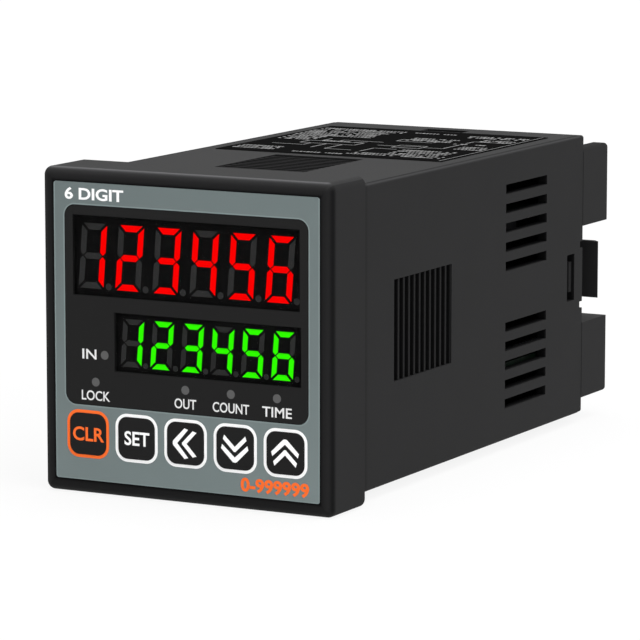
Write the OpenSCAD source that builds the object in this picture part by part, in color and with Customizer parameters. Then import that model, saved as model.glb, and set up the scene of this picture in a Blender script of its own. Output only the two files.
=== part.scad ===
// Panel counter for a square cut-out. A bezel with two LED displays and five push keys closes the front
// of a tubular case, and a latched base with two rows of screw terminals closes its rear.
// Millimetres. X points right seen from the front, Y points into the panel and Z points up.
// The origin is the centre of the bezel's rear face, which seats on the panel.

/* [Case] */
// Outside width and height of the square case
case_w = 45; // [44:0.5:60]
// Length of the case behind the panel
case_len = 77.9; // [62:0.1:120]
// Wall thickness of the case
case_wall = 1.5; // [1.3:0.1:2]
// Radius of the case's long edges
case_edge_r = 0.45; // [0.2:0.05:1]
// How far the case reaches into the bezel
case_insert = 4; // [3:0.5:5]
// Height of the snap ramps that hold the case in the bezel
snap_h = 0.5; // [0.3:0.05:0.6]
// Width of the snap ramps
snap_w = 8; // [5:0.5:12]
// Height of the rails that guide the boards
rail_h = 1.2; // [0.8:0.1:2]

/* [Vents] */
// Slots above and below the middle of each side
vent_count = 5; // [2:1:5]
// Length of a slot
vent_len = 15; // [8:0.5:18]
// Height of a slot
vent_h = 1.5; // [1:0.1:2]
// Pitch of the slots
vent_pitch = 3; // [2.5:0.1:3.2]
// Height of the innermost slot's centre above the middle
vent_first = 4.75; // [3:0.25:6]
// Distance from the slots' rear ends to the rear of the case
vent_rear = 12.8; // [8:0.1:16]

/* [Bracket ribs] */
// Grooves in each ribbed patch
rib_count = 11; // [5:1:11]
// Pitch of the grooves
rib_pitch = 1.73; // [1.5:0.01:1.8]
// Width of a groove along the case
groove_w = 1.2; // [0.8:0.05:1.3]
// Depth of a groove below its patch
groove_depth = 0.6; // [0.3:0.1:0.7]
// Depth of the patch below the face of the case
patch_depth = 0.15; // [0.1:0.05:0.3]
// Length of a groove across the case
patch_w = 15.1; // [10:0.1:20]
// Distance from the panel to the patch
patch_start = 12.1; // [8:0.1:14]

/* [Wiring label] */
// Width of the label
label_w = 39; // [30:0.5:42]
// Thickness of the label
label_t = 0.1; // [0.1:0.05:0.3]
// Distance from the ribbed patch to the label
label_front = 2.4; // [1:0.1:5]
// Distance from the label to the rear of the case
label_rear = 6; // [6:0.1:8]

/* [Bezel] */
// How far the bezel stands out beyond the case
bezel_lip = 1.5; // [1.3:0.1:4]
// Depth of the bezel in front of the panel
bezel_d = 10; // [9:0.5:14]
// Radius of the bezel's front edges
bezel_edge_r = 1.2; // [0.4:0.1:1.4]
// Radius of the bezel's corners, which is more than that of its edges
bezel_corner_r = 1.3; // [1.3:0.1:3]
// Width of the rim round the front sheet
rim_w = 1.95; // [1.6:0.05:2.4]
// Thickness of the front wall behind the window
front_wall = 1.5; // [1:0.1:2.5]
// Diameter of the posts that carry the display board
post_d = 2.2; // [1.6:0.1:2.4]
// Diameter of the pegs staked through the display board
peg_d = 1.2; // [0.8:0.1:1.3]

/* [Front sheet] */
// Thickness of the front sheet
sheet_t = 0.5; // [0.3:0.1:0.8]
// Radius of the front sheet's corners
sheet_r = 0.4; // [0.3:0.1:2]

/* [Window] */
// Thickness of the window panel
window_t = 0.5; // [0.4:0.1:1.6]
// Radius of the window's corners
window_r = 1.6; // [0.5:0.1:3]
// Width of the window beside the upper display
window_side = 1.03; // [0.8:0.01:1.6]
// Height of the window above the upper display
window_above = 1.48; // [0.8:0.02:2]
// Height of the window below the lower display
window_below = 5.17; // [3.5:0.01:5.5]

/* [Upper display] */
// Digits in the upper display
upper_count = 6; // [4:1:6]
// Height of a digit
upper_digit_h = 9.58; // [7:0.02:10.2]
// Width of a digit
upper_digit_w = 4.2; // [3.5:0.02:4.7]
// Thickness of a segment
upper_seg_t = 0.9; // [0.6:0.02:1.2]
// Pitch of the digits
upper_pitch = 6.22; // [6.1:0.01:6.4]
// Distance of the display's centre right of the middle
upper_x = -0.21; // [-0.4:0.01:0.4]
// Height of the display's centre above the middle
upper_z = 11.22; // [11:0.02:12]
// Dark border above and below the digits
upper_border = 1.1; // [0.6:0.01:1.3]
// Dark border beside the row of digits
upper_side = 0.41; // [0.1:0.01:0.5]

/* [Lower display] */
// Digits in the lower display
lower_count = 6; // [4:1:6]
// Height of a digit
lower_digit_h = 7.04; // [5:0.02:7.6]
// Width of a digit
lower_digit_w = 3.48; // [2.6:0.02:3.6]
// Thickness of a segment
lower_seg_t = 0.77; // [0.5:0.01:1]
// Pitch of the digits
lower_pitch = 5; // [4.9:0.01:5.2]
// Distance of the display's centre right of the middle
lower_x = 3.32; // [2:0.01:4]
// Height of the display's centre above the middle
lower_z = -1.21; // [-1.5:0.01:-0.8]
// Dark border above and below the digits
lower_border = 0.81; // [0.4:0.01:0.9]
// Dark border beside the row of digits
lower_side = 0.5; // [0.2:0.01:0.6]

/* [Segments] */
// Lean of the digits
slant = 4.5; // [0:0.5:10]
// Gap between neighbouring segments
seg_gap = 0.2; // [0.15:0.05:0.35]
// Depth of a segment in the display
seg_depth = 0.8; // [0.4:0.1:2]

/* [Indicators] */
// Diameter of an indicator light
light_d = 1.3; // [0.8:0.1:1.5]
// Pitch of the places in the indicator row
light_pitch = 7.53; // [6:0.01:7.6]
// Height of the indicator row below the middle
light_drop = 7.27; // [7.1:0.01:7.6]
// Distance of the side indicator left of the lower display
side_light_gap = 1.32; // [1.1:0.02:2.5]
// Height of the side indicator below the middle
side_light_drop = 3.24; // [0:0.01:4]

/* [Keys] */
// Width of a key cap
key_w = 6.12; // [4:0.02:6.4]
// Height of a key cap
key_h = 6.22; // [4:0.02:6.4]
// Corner radius of a key cap
key_r = 1.5; // [0.5:0.1:1.9]
// Radius of a key cap's front edge
key_edge_r = 0.15; // [0.1:0.05:0.4]
// Pitch of the keys
key_pitch = 8.23; // [8:0.01:8.4]
// Width of the sheet beside the row of keys
key_side = 2.47; // [1.5:0.01:3]
// Height of the key row below the middle
key_drop = 15.12; // [15:0.01:16]
// How far a key stands out from the front sheet
key_proud = 0.15; // [0.1:0.05:1]
// How far a key travels
key_travel = 0.3; // [0.1:0.05:0.3]
// How far a key's flange reaches behind the front wall
key_flange = 0.5; // [0.3:0.05:0.6]
// Thickness of a key's flange
key_flange_t = 0.65; // [0.4:0.05:1]

/* [Switches] */
// Width of a switch
switch_w = 6; // [4.5:0.1:6.2]
// Height of a switch
switch_h = 3.5; // [2.5:0.1:5]
// Diameter of a switch plunger
plunger_d = 3.5; // [2:0.1:3.8]
// How far a plunger stands out of its switch
plunger_h = 0.7; // [0.5:0.05:1.2]

/* [Boards] */
// Thickness of the boards
pcb_t = 1.6; // [1:0.1:1.6]
// Distance from a terminal row's inner face to the inner face of its long board
board_step = 3.15; // [3:0.05:3.6]
// Distance from the display board to the long boards
board_front = 2.5; // [2:0.1:5]
// Distance from the long boards to the rear of the case
board_rear = 6.9; // [6.5:0.1:10]
// Pins in each header
pin_count = 10; // [4:1:10]
// Pitch of the header pins
pin_pitch = 2.54; // [2:0.01:2.54]
// Width of a header pin
pin_w = 0.64; // [0.5:0.01:0.7]
// Depth and height of a header's body
header_w = 2.5; // [2:0.1:3]

/* [Components] */
// Width of the relay
relay_w = 10; // [6:0.5:12]
// Length of the relay
relay_len = 20; // [12:0.5:22]
// Height of the relay
relay_h = 15; // [8:0.5:18]
// Width of the transformer core
core_w = 16; // [12:0.5:18]
// Length of the transformer core
core_len = 9; // [6:0.5:12]
// Height of the transformer core
core_h = 14; // [11:0.5:16]
// Wall of the core above and below the winding
core_wall = 2.5; // [1.5:0.1:3]
// Length of the winding
winding_len = 18; // [14:0.5:20]
// Diameter of the capacitor
cap_d = 10; // [6:0.5:10]
// Height of the capacitor
cap_h = 16; // [8:0.5:18]
// Width and length of the microcontroller
chip_w = 10; // [6:0.5:12]
// Height of the microcontroller
chip_h = 1.4; // [1:0.1:2]
// Optocouplers in the row
opto_count = 3; // [1:1:3]
// Pitch of the optocouplers
opto_pitch = 6.5; // [5.2:0.1:7]
// Width of an optocoupler
opto_w = 4.6; // [3:0.1:5]
// Length of an optocoupler
opto_len = 6.5; // [4:0.5:8]
// Height of an optocoupler
opto_h = 3.5; // [2:0.1:4]

/* [Terminal base] */
// Thickness of the flange behind the case
flange_t = 1.1; // [1:0.1:2]
// How far the flange stays inside the faces of the case
flange_inset = 0.05; // [0.05:0.01:0.3]
// Thickness of the plug inside the case
plug_t = 1.5; // [1:0.1:1.8]
// Depth of the plug's rim inside the case
rim_depth = 2.5; // [1.5:0.1:3]
// Thickness of the plug's rim
rim_t = 1.2; // [0.8:0.1:1.5]
// Terminals in each row
term_count = 6; // [3:1:6]
// Distance from the flange to the rear ends of the fins
fin_len = 9.4; // [8:0.1:12]
// Distance from a row's outer face to the face of the case
row_inset = 2.15; // [1.8:0.05:3]
// Height of a row
row_h = 12.5; // [12:0.1:13]
// Thickness of the end fins
end_fin_t = 2.5; // [1.5:0.1:2.6]
// Thickness of the fins between terminals
fin_t = 1.2; // [0.8:0.1:1.3]
// Thickness of a row's inner wall
row_wall = 1.2; // [0.8:0.1:1.5]
// Radius of a row's outer corners
fin_r = 0.7; // [0.5:0.1:2]
// Thickness of the terminal seats behind the flange
seat_t = 3; // [2.5:0.1:3.5]
// How far the seats stay inside the fins' outer edges
seat_inset = 2.85; // [2:0.05:3]

/* [Terminals] */
// Thickness of a contact
contact_t = 0.8; // [0.5:0.1:0.8]
// Width of a contact's tail
tail_w = 2.4; // [1.5:0.1:3]
// Length of a tail soldered to its board
solder_len = 4; // [2:0.5:6]
// Thickness of a clamp washer
washer_t = 0.9; // [0.5:0.1:1.2]
// Gap between a screw head and the fins beside it
head_gap = 0.33; // [0.2:0.01:0.6]
// Diameter of a terminal screw as a share of its head's
screw_share = 0.6; // [0.5:0.01:0.65]
// Length of a terminal screw under its head
screw_len = 5; // [4.5:0.1:5.4]
// Height of a screw head
head_h = 1.9; // [1.2:0.1:2.4]
// Width of the slots in a screw head as a share of its diameter
drive_share = 0.18; // [0.1:0.01:0.22]
// Depth of the slots in a screw head
drive_depth = 0.9; // [0.5:0.1:1]
// Length of the slots in a screw head as a share of its diameter
drive_reach = 0.7; // [0.5:0.01:0.8]

/* [Latches] */
// Length of the latch window in each side of the case
latch_window_len = 2.8; // [2.4:0.1:3]
// Width of the latch window
latch_window_w = 7.5; // [6:0.1:8]
// Distance from the latch window to the rear of the case
latch_window_rear = 2.1; // [1.8:0.1:3]
// Thickness of a latch arm and of its lever
arm_t = 1.4; // [1:0.1:1.6]
// Height of a latch arm and of its lever
arm_h = 8.66; // [8.2:0.02:9]
// Length of a latch hook and of a nib
hook_len = 1; // [0.8:0.1:1.8]
// Width of a latch hook and of a nib
hook_h = 4.8; // [3:0.1:5.5]
// How far hooks and nibs stay below the face of the case
hook_recess = 0.5; // [0.3:0.1:0.8]
// Height of the relief notch beside a latch arm
notch_h = 1.07; // [0.6:0.01:1.5]
// Depth of the relief notch
notch_depth = 1.2; // [0.8:0.1:1.3]
// Height of the finger plate
plate_h = 9.2; // [9.1:0.02:12]
// Thickness of the finger plate
plate_t = 1.2; // [0.8:0.1:2]
// Thickness that the finger plate's chamfer leaves at its outer edge
plate_edge = 0.2; // [0.1:0.05:0.5]
// Width of the finger plate
plate_w = 5; // [4:0.1:6]
// Distance from the flange to the rear of the finger plate
plate_reach = 7.2; // [5:0.1:8]

/* [Clearances] */
// Gap between the case and the bezel
case_fit = 0.1; // [0.05:0.05:0.2]
// Gap between the plug and the case
plug_fit = 0.15; // [0.05:0.05:0.3]
// Gap round the sheet, the window and the displays
panel_fit = 0.1; // [0.04:0.01:0.12]
// Gap between the window and the displays behind it
display_gap = 0.1; // [0.05:0.05:0.3]
// Gap round a segment in its pocket
seg_fit = 0.02; // [0.01:0.01:0.04]
// Gap round a key and a plunger
key_fit = 0.12; // [0.1:0.01:0.15]
// Gap round a board, a peg, a contact and a screw
board_fit = 0.1; // [0.05:0.01:0.15]
// Gap between a long board and the case's side
board_side = 0.4; // [0.2:0.1:0.6]
// Gap between a latch hook and the edge of its window
latch_fit = 0.05; // [0.03:0.01:0.1]

/* [Hidden] */
$fn = 48;
cut = 0.5;
bezel_w = case_w + 2 * bezel_lip;
sheet_w = bezel_w - 2 * (rim_w + panel_fit);
// The row of keys and its margins fill the sheet, and the rest of the front grows along
face = sheet_w / (4 * key_pitch + key_w + 2 * key_side);
case_in = case_w - 2 * case_wall;
bezel_in = case_w + 2 * case_fit;
front_y = -bezel_d;
window_back = front_y + window_t;
display_front = window_back + display_gap;
wall_back = window_back + front_wall;
key_back = wall_back + key_fit + key_flange_t;
switch_front = key_back + plunger_h;
board_y = switch_front + switch_h;
board_back = board_y + pcb_t;
board_half = case_in / 2 - board_side;

upper_w = face * (upper_count * upper_pitch + 2 * upper_side);
upper_h = face * (upper_digit_h + 2 * upper_border);
lower_w = face * (lower_count * lower_pitch + 2 * lower_side);
lower_h = face * (lower_digit_h + 2 * lower_border);
window_w = upper_w + 2 * face * window_side;
window_top = face * (upper_z + window_above) + upper_h / 2;
window_bottom = face * (lower_z - window_below) - lower_h / 2;
window_h = window_top - window_bottom;
window_z = (window_top + window_bottom) / 2;

light_slots = [-2, 0, 1, 2];
guide_d = face * light_d;
side_light = [face * (lower_x - side_light_gap) - lower_w / 2, -face * side_light_drop];
light_places = concat([side_light], [for (k = light_slots) face * [k * light_pitch, -light_drop]]);

key_place = [face * key_pitch, -face * key_drop];
keycap_w = face * key_w;
keycap_h = face * key_h;
keycap_r = face * key_r;
keycap_flange = face * key_flange;
button_d = face * plunger_d;

post_out = 17.5;
low_post_out = 18.6;
stud_d = face * post_d;
stake_d = face * peg_d;
stake_h = 0.5;
post_top_z = (face * upper_z + upper_h / 2 + board_half) / 2;
post_low_z = (guide_d / -2 - face * light_drop + key_place[1] + keycap_h / 2 + keycap_flange) / 2;
post_places = concat(
    [for (sx = [-1, 1]) [sx * face * post_out, post_top_z]],
    [for (sx = [-1, 1]) [sx * face * low_post_out, post_low_z]]
);

snap_front = 0.6;
ramp_len = 1.2;
flat_len = 0.4;
patch_len = rib_count * rib_pitch;
vent_y = case_len - vent_rear - vent_len;
board_start = board_back + board_front;
board_end = case_len - board_rear;
rail_start = 8;
rail_gap = 4;
rail_end = vent_y - rail_gap;
rail_t = 1;
label_start = patch_start + patch_len + label_front;
label_end = case_len - label_rear;

row_top = case_w / 2 - row_inset;
row_z = row_top - row_h;
board_z = row_z + board_step;
flange_back = case_len + flange_t;
flange_w = case_w - 2 * flange_inset;
fin_back = flange_back + fin_len;
seat_y = flange_back + seat_t;
plug_w = case_in - 2 * plug_fit;
bay_w = (case_w - 2 * end_fin_t - (term_count - 1) * fin_t) / term_count;
bay_pitch = bay_w + fin_t;
head_d = bay_w - 2 * head_gap;
screw_d = head_d * screw_share;
seat_top = row_top - seat_inset;
tail_z = board_z - contact_t;
screw_gap = 1.3;
screw_z = board_z + screw_d / 2 + screw_gap;
contact_side = 0.4;
bore_spare = 0.3;
contact_w = bay_w - 2 * contact_side;
washer_w = contact_w - 2 * board_fit;
washer_back = seat_y + contact_t + washer_t;
bore_end = washer_back - screw_len - bore_spare;

latch_rear = case_len - latch_window_rear;
latch_front = latch_rear - latch_window_len;
hook_rear = latch_rear - latch_fit;
arm_nose = 1.2;
arm_front = hook_rear - hook_len - arm_nose;
arm_gap = 0.25;
arm_out = case_in / 2 - arm_gap;
arm_room = 0.65;
relief_w = arm_gap + arm_t + arm_room;

relay_edge = 4.6;
relay_x = relay_edge + relay_w / 2 - board_half;
opto_edge = 3.3;
opto_x = board_half - opto_edge - opto_w / 2 - (opto_count - 1) * opto_pitch;
chip_edge = 9.6;
chip_front = 14;
chip_x = board_half - chip_edge - chip_w / 2;
chip_y = board_start + chip_front;
core_edge = 6.6;
core_front = 24;
core_x = board_half - core_edge - core_w / 2;
core_y = board_start + core_front;
cap_edge = 3.6;
cap_front = 14;
cap_x = cap_edge + cap_d / 2 - board_half;
cap_y = board_start + cap_front;
solder_gap = 2;
bore_d = core_h - 2 * core_wall;

body_color = [0.16, 0.16, 0.165];
board_color = [0.05, 0.3, 0.14];
metal_color = [0.75, 0.75, 0.72];
key_color = [0.04, 0.04, 0.045];
unlit_color = [0.19, 0.19, 0.19];

// Shared shapes

// A flat shape drawn in X and Z, carried from y0 to y1
module along_y(y0, y1) {
    translate([0, y1, 0]) rotate([90, 0, 0]) linear_extrude(height = y1 - y0) children();
}

// A flat shape drawn in Y and Z, centred on X
module along_x(w) {
    translate([-w / 2, 0, 0]) rotate([90, 0, 90]) linear_extrude(height = w) children();
}

// A rectangle with round corners, centred
module round_rect(w, h, r) {
    square([w - 2 * r, h], center = true);
    square([w, h - 2 * r], center = true);
    for (sx = [-1, 1], sy = [-1, 1]) {
        translate([sx * (w / 2 - r), sy * (h / 2 - r)]) circle(r);
    }
}

// Half of a section that stands on the line y = 0, with its upper corner rounded
module edge_section(w, d, r) {
    square([w - r, d]);
    square([w, d - r]);
    translate([w - r, d - r]) circle(r);
}

// A block that faces -Y, with round corners and a rounded front edge
module soft_block(w, h, y0, y1, corner_r, edge_r) {
    d = y1 - y0;
    translate([0, y1, 0]) rotate([90, 0, 0]) {
        for (sx = [-1, 1], sy = [-1, 1]) {
            translate([sx * (w / 2 - corner_r), sy * (h / 2 - corner_r), 0])
                rotate_extrude() intersection() {
                    edge_section(corner_r, d, edge_r);
                    square([corner_r, d]);
                }
        }
        for (side = [0, 180]) {
            rotate([0, 0, side]) soft_bar(w / 2, h - 2 * corner_r, d, edge_r);
            rotate([0, 0, side + 90]) soft_bar(h / 2, w - 2 * corner_r, d, edge_r);
        }
    }
}

// One straight side of a soft block, from the middle out to half_w
module soft_bar(half_w, len, d, edge_r) {
    translate([0, len / 2, 0]) rotate([90, 0, 0])
        linear_extrude(height = len) edge_section(half_w, d, edge_r);
}

// Children at each of a list of places in X and Z
module at_places(places) {
    for (p = places) translate([p[0], 0, p[1]]) children();
}

// A round pin or hole along Y
module pin_y(d, y0, y1) {
    along_y(y0, y1) circle(d = d);
}

// Children as drawn, and once more turned half round about Y
module both_halves() {
    children();
    rotate([0, 180, 0]) children();
}

// Children at each terminal of one row
module at_bays() {
    for (i = [0 : term_count - 1]) {
        translate([(i - (term_count - 1) / 2) * bay_pitch, 0, 0]) children();
    }
}

// A box given by its two corners
module span(low, high) {
    translate(low) cube(high - low);
}

// Seven-segment digits

// Segments a to g lit for each digit
LIT = [
    [1, 1, 1, 1, 1, 1, 0], [0, 1, 1, 0, 0, 0, 0], [1, 1, 0, 1, 1, 0, 1], [1, 1, 1, 1, 0, 0, 1],
    [0, 1, 1, 0, 0, 1, 1], [1, 0, 1, 1, 0, 1, 1], [1, 0, 1, 1, 1, 1, 1]
];

bar_gap = face * seg_gap;
mitre_gap = bar_gap / cos(45);
tip_ratio = 0.8;
tip_gap = bar_gap * tip_ratio;
point_ratio = 1.1;
point_shift = 0.6;
point_rise = 0.42;

function lean(points) = [for (p = points) [p[0] + p[1] * tan(slant), p[1]]];

// Top bar, mitred at both ends; fit widens it for its pocket
function bar_a(w, h, t, fit) =
    let (x = w / 2 - mitre_gap + fit, y = h / 2 + fit, s = t + 2 * fit)
    [[-x, y], [x, y], [x - s, y - s], [s - x, y - s]];

// Upper right bar, mitred at the top and pointed at the middle
function bar_b(w, h, t, fit) =
    let (x = w / 2 + fit, y = h / 2 - mitre_gap + fit, s = t + 2 * fit, m = bar_gap / 2 - fit)
    [[x, y], [x - s, y - s], [x - s, m + s / 2], [x - s / 2, m], [x, m + s / 2]];

// Middle bar, pointed at both ends
function bar_g(w, t, fit) =
    let (x = w / 2 - t / 2 - tip_gap + fit, s = t / 2 + fit)
    [[-x, 0], [s - x, s], [x - s, s], [x, 0], [x - s, -s], [s - x, -s]];

function flip(points, sx, sy) = [for (p = points) [sx * p[0], sy * p[1]]];

function segment(k, w, h, t, fit) =
    k == 0 ? bar_a(w, h, t, fit)
    : k == 1 ? bar_b(w, h, t, fit)
    : k == 2 ? flip(bar_b(w, h, t, fit), 1, -1)
    : k == 3 ? flip(bar_a(w, h, t, fit), 1, -1)
    : k == 4 ? flip(bar_b(w, h, t, fit), -1, -1)
    : k == 5 ? flip(bar_b(w, h, t, fit), -1, 1)
    : bar_g(w, t, fit);

// One digit's bars whose state is in states
module bars(value, w, h, t, fit, states) {
    for (k = [0 : 6]) {
        if (len(search(LIT[value][k], states)) > 0) polygon(lean(segment(k, w, h, t, fit)));
    }
}

// A row of digits that counts up from one, with a point after each; sizes are pitch, width, height, thickness
module digit_row(count, sizes, fit, states) {
    pitch = sizes[0];
    w = sizes[1];
    h = sizes[2];
    t = sizes[3];
    for (i = [0 : count - 1]) {
        translate([(i - (count - 1) / 2) * pitch, 0]) {
            bars(i + 1, w, h, t, fit, states);
            if (len(search(0, states)) > 0) {
                translate([w / 2 + t * point_shift, t * point_rise - h / 2])
                    circle(d = t * point_ratio + 2 * fit);
            }
        }
    }
}

module upper_digits(fit, states) {
    sizes = face * [upper_pitch, upper_digit_w, upper_digit_h, upper_seg_t];
    translate(face * [upper_x, upper_z]) digit_row(upper_count, sizes, fit, states);
}

module lower_digits(fit, states) {
    sizes = face * [lower_pitch, lower_digit_w, lower_digit_h, lower_seg_t];
    translate(face * [lower_x, lower_z]) digit_row(lower_count, sizes, fit, states);
}

module segments() {
    along_y(display_front, display_front + seg_depth) children();
}

// Front

module key_outline(grow) {
    round_rect(keycap_w + 2 * grow, keycap_h + 2 * grow, keycap_r + grow);
}

module at_keys() {
    for (i = [-2 : 2]) translate([i * key_place[0], key_place[1]]) children();
}

module window_outline(grow) {
    translate([0, window_z]) round_rect(window_w + 2 * grow, window_h + 2 * grow, face * window_r + grow);
}

module upper_outline(grow) {
    translate(face * [upper_x, upper_z]) square([upper_w + 2 * grow, upper_h + 2 * grow], center = true);
}

module lower_outline(grow) {
    translate(face * [lower_x, lower_z]) square([lower_w + 2 * grow, lower_h + 2 * grow], center = true);
}

// Grooves inside the bezel for the case's snap ramps
module snap_grooves() {
    y0 = snap_front - case_insert - case_fit;
    y1 = y0 + ramp_len + flat_len + 2 * case_fit;
    reach = bezel_in / 2 + snap_h + case_fit / 2;
    for (turn = [0 : 90 : 270]) {
        rotate([0, turn, 0]) span([-snap_w / 2 - case_fit, y0, 0], [snap_w / 2 + case_fit, y1, reach]);
    }
}

module front_bezel() {
    color(body_color) {
        difference() {
            soft_block(bezel_w, bezel_w, front_y, 0, bezel_corner_r, bezel_edge_r);
            along_y(front_y - cut, front_y + sheet_t)
                round_rect(sheet_w + 2 * panel_fit, sheet_w + 2 * panel_fit, sheet_r + panel_fit);
            along_y(front_y - cut, window_back) window_outline(panel_fit);
            along_y(front_y - cut, wall_back + cut) {
                upper_outline(panel_fit);
                lower_outline(panel_fit);
                at_keys() key_outline(key_fit);
            }
            at_places(light_places) pin_y(guide_d + 2 * panel_fit, front_y - cut, wall_back + cut);
            along_y(wall_back, cut) round_rect(bezel_in, bezel_in, case_edge_r + case_fit);
            snap_grooves();
        }
        at_places(post_places) {
            pin_y(stud_d, wall_back, board_y);
            pin_y(stake_d, board_y, board_back);
            pin_y(stud_d, board_back, board_back + stake_h);
        }
    }
}

module front_sheet() {
    color([0.44, 0.48, 0.48]) along_y(front_y, front_y + sheet_t) difference() {
        round_rect(sheet_w, sheet_w, sheet_r);
        window_outline(panel_fit);
        at_keys() key_outline(key_fit);
    }
}

module display_window() {
    color([0.15, 0.15, 0.155]) along_y(front_y, window_back) window_outline(0);
}

module upper_display() {
    color([0.06, 0.06, 0.06]) difference() {
        along_y(display_front, board_y) upper_outline(0);
        along_y(display_front - cut, display_front + seg_depth) upper_digits(seg_fit, [0, 1]);
    }
}

module upper_lit_segments() {
    color([1, 0.02, 0.02]) segments() upper_digits(0, [1]);
}

module upper_unlit_segments() {
    color(unlit_color) segments() upper_digits(0, [0]);
}

module lower_display() {
    color([0.06, 0.06, 0.06]) difference() {
        along_y(display_front, board_y) lower_outline(0);
        along_y(display_front - cut, display_front + seg_depth) lower_digits(seg_fit, [0, 1]);
    }
}

module lower_lit_segments() {
    color([0.2, 1, 0.02]) segments() lower_digits(0, [1]);
}

module lower_unlit_segments() {
    color(unlit_color) segments() lower_digits(0, [0]);
}

module indicator_lights() {
    color([0.4, 0.4, 0.4]) at_places(light_places) pin_y(guide_d, display_front, board_y);
}

// Children at place i of the key row, counted from the middle
module at_key(i) {
    translate([i * key_place[0], 0, key_place[1]]) children();
}

// A key in place i
module key_cap(i) {
    color(key_color) at_key(i) {
        soft_block(keycap_w, keycap_h, front_y - key_proud, wall_back + key_fit, keycap_r, key_edge_r);
        along_y(wall_back + key_fit, key_back) key_outline(keycap_flange);
    }
}

module reset_key() { key_cap(-2); }
module mode_key() { key_cap(-1); }
module shift_key() { key_cap(0); }
module down_key() { key_cap(1); }
module up_key() { key_cap(2); }

// The plunger of the switch in place i, which stops short of the switch's floor at full travel
module plunger(i) {
    color([0.1, 0.1, 0.1]) at_key(i) pin_y(button_d, key_back, switch_front + plunger_h);
}

module reset_plunger() { plunger(-2); }
module mode_plunger() { plunger(-1); }
module shift_plunger() { plunger(0); }
module down_plunger() { plunger(1); }
module up_plunger() { plunger(2); }

module key_switches() {
    bore_floor = switch_front + plunger_h + key_travel + key_fit;
    color([0.22, 0.22, 0.22]) for (i = [-2 : 2]) at_key(i) difference() {
        along_y(switch_front, board_y) square(face * switch_w, center = true);
        pin_y(button_d + 2 * key_fit, switch_front - cut, bore_floor);
    }
}

module display_board() {
    color(board_color) difference() {
        along_y(board_y, board_back) square(2 * board_half, center = true);
        at_places(post_places) pin_y(stake_d + 2 * board_fit, board_y - cut, board_back + cut);
    }
}

// Case

// Ribbed patch that a mounting bracket grips, cut into the top face
module patch_cut() {
    top = case_w / 2;
    span([-patch_w / 2, patch_start, top - patch_depth], [patch_w / 2, patch_start + patch_len, top + cut]);
    for (i = [0 : rib_count - 1]) {
        y = patch_start + i * rib_pitch + (rib_pitch - groove_w) / 2;
        span([-patch_w / 2, y, top - patch_depth - groove_depth], [patch_w / 2, y + groove_w, top + cut]);
    }
}

// Vent slots through both sides
module vent_cuts() {
    for (s = [-1, 1], k = [0 : vent_count - 1]) {
        translate([0, vent_y + vent_len / 2, s * (vent_first + k * vent_pitch)])
            cube([case_w + 2 * cut, vent_len, vent_h], center = true);
    }
}

// Snap ramp on the top face, which catches in the bezel
module snap_ramp() {
    y0 = snap_front - case_insert;
    top = case_w / 2;
    along_x(snap_w) polygon([
        [y0, top], [y0 + ramp_len, top + snap_h], [y0 + ramp_len + flat_len, top + snap_h],
        [y0 + ramp_len + flat_len, top]
    ]);
}

// Four rails on the inner sides, one above and one below each long board
module board_rails() {
    gap = pcb_t + 2 * board_fit;
    low = board_z - board_fit - rail_t;
    both_halves() for (s = [-1, 1], z = [low, low + rail_t + gap]) {
        translate([s * (case_in / 2 - rail_h / 2), (rail_start + rail_end) / 2, z + rail_t / 2])
            cube([rail_h, rail_end - rail_start, rail_t], center = true);
    }
}

module case() {
    color(body_color) {
        difference() {
            along_y(-case_insert, case_len) round_rect(case_w, case_w, case_edge_r);
            along_y(-case_insert - cut, case_len + cut) square(case_in, center = true);
            for (turn = [0 : 90 : 270]) rotate([0, turn, 0]) patch_cut();
            vent_cuts();
            for (turn = [0, 90]) rotate([0, turn, 0]) translate([0, (latch_front + latch_rear) / 2, 0])
                cube([case_w + 2 * cut, latch_window_len, latch_window_w], center = true);
        }
        for (turn = [0 : 90 : 270]) rotate([0, turn, 0]) snap_ramp();
        board_rails();
    }
}

module wiring_label() {
    color([0.09, 0.09, 0.09])
        span([-label_w / 2, label_start, case_w / 2], [label_w / 2, label_end, case_w / 2 + label_t]);
}

// Boards and what they carry

module long_board() {
    span([-board_half, board_start, board_z], [board_half, board_end, board_z + pcb_t]);
}

module logic_board() {
    color(board_color) long_board();
}

module power_board() {
    color(board_color) rotate([0, 180, 0]) long_board();
}

// Pin header under the front edge of the upper board
module header() {
    half = pin_count * pin_pitch / 2;
    pin_z = board_z - header_w / 2;
    span([-half, board_start, board_z - header_w], [half, board_start + header_w, board_z]);
    for (i = [0 : pin_count - 1]) {
        x = (i - (pin_count - 1) / 2) * pin_pitch;
        span([x - pin_w / 2, board_back, pin_z - pin_w / 2], [x + pin_w / 2, board_start, pin_z + pin_w / 2]);
    }
}

module logic_header() {
    color([0.08, 0.08, 0.08]) header();
}

module power_header() {
    color([0.08, 0.08, 0.08]) rotate([0, 180, 0]) header();
}

// A box that hangs under the upper board, centred on x
module under_board(x, y, w, len, h) {
    span([x - w / 2, y, board_z - h], [x + w / 2, y + len, board_z]);
}

module microcontroller() {
    color([0.07, 0.07, 0.08]) under_board(chip_x, chip_y, chip_w, chip_w, chip_h);
}

module optocouplers() {
    y = board_end - solder_len - solder_gap - opto_len;
    color([0.85, 0.84, 0.8]) for (i = [0 : opto_count - 1]) {
        under_board(opto_x + i * opto_pitch, y, opto_w, opto_len, opto_h);
    }
}

module output_relay() {
    y = board_end - solder_len - solder_gap - relay_len;
    color([0.12, 0.2, 0.45]) under_board(relay_x, y, relay_w, relay_len, relay_h);
}

module transformer_core() {
    color([0.2, 0.2, 0.22]) translate([core_x, core_y, core_h / 2 - board_z]) difference() {
        cube([core_w, core_len, core_h], center = true);
        pin_y(bore_d, -core_len, core_len);
    }
}

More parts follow.
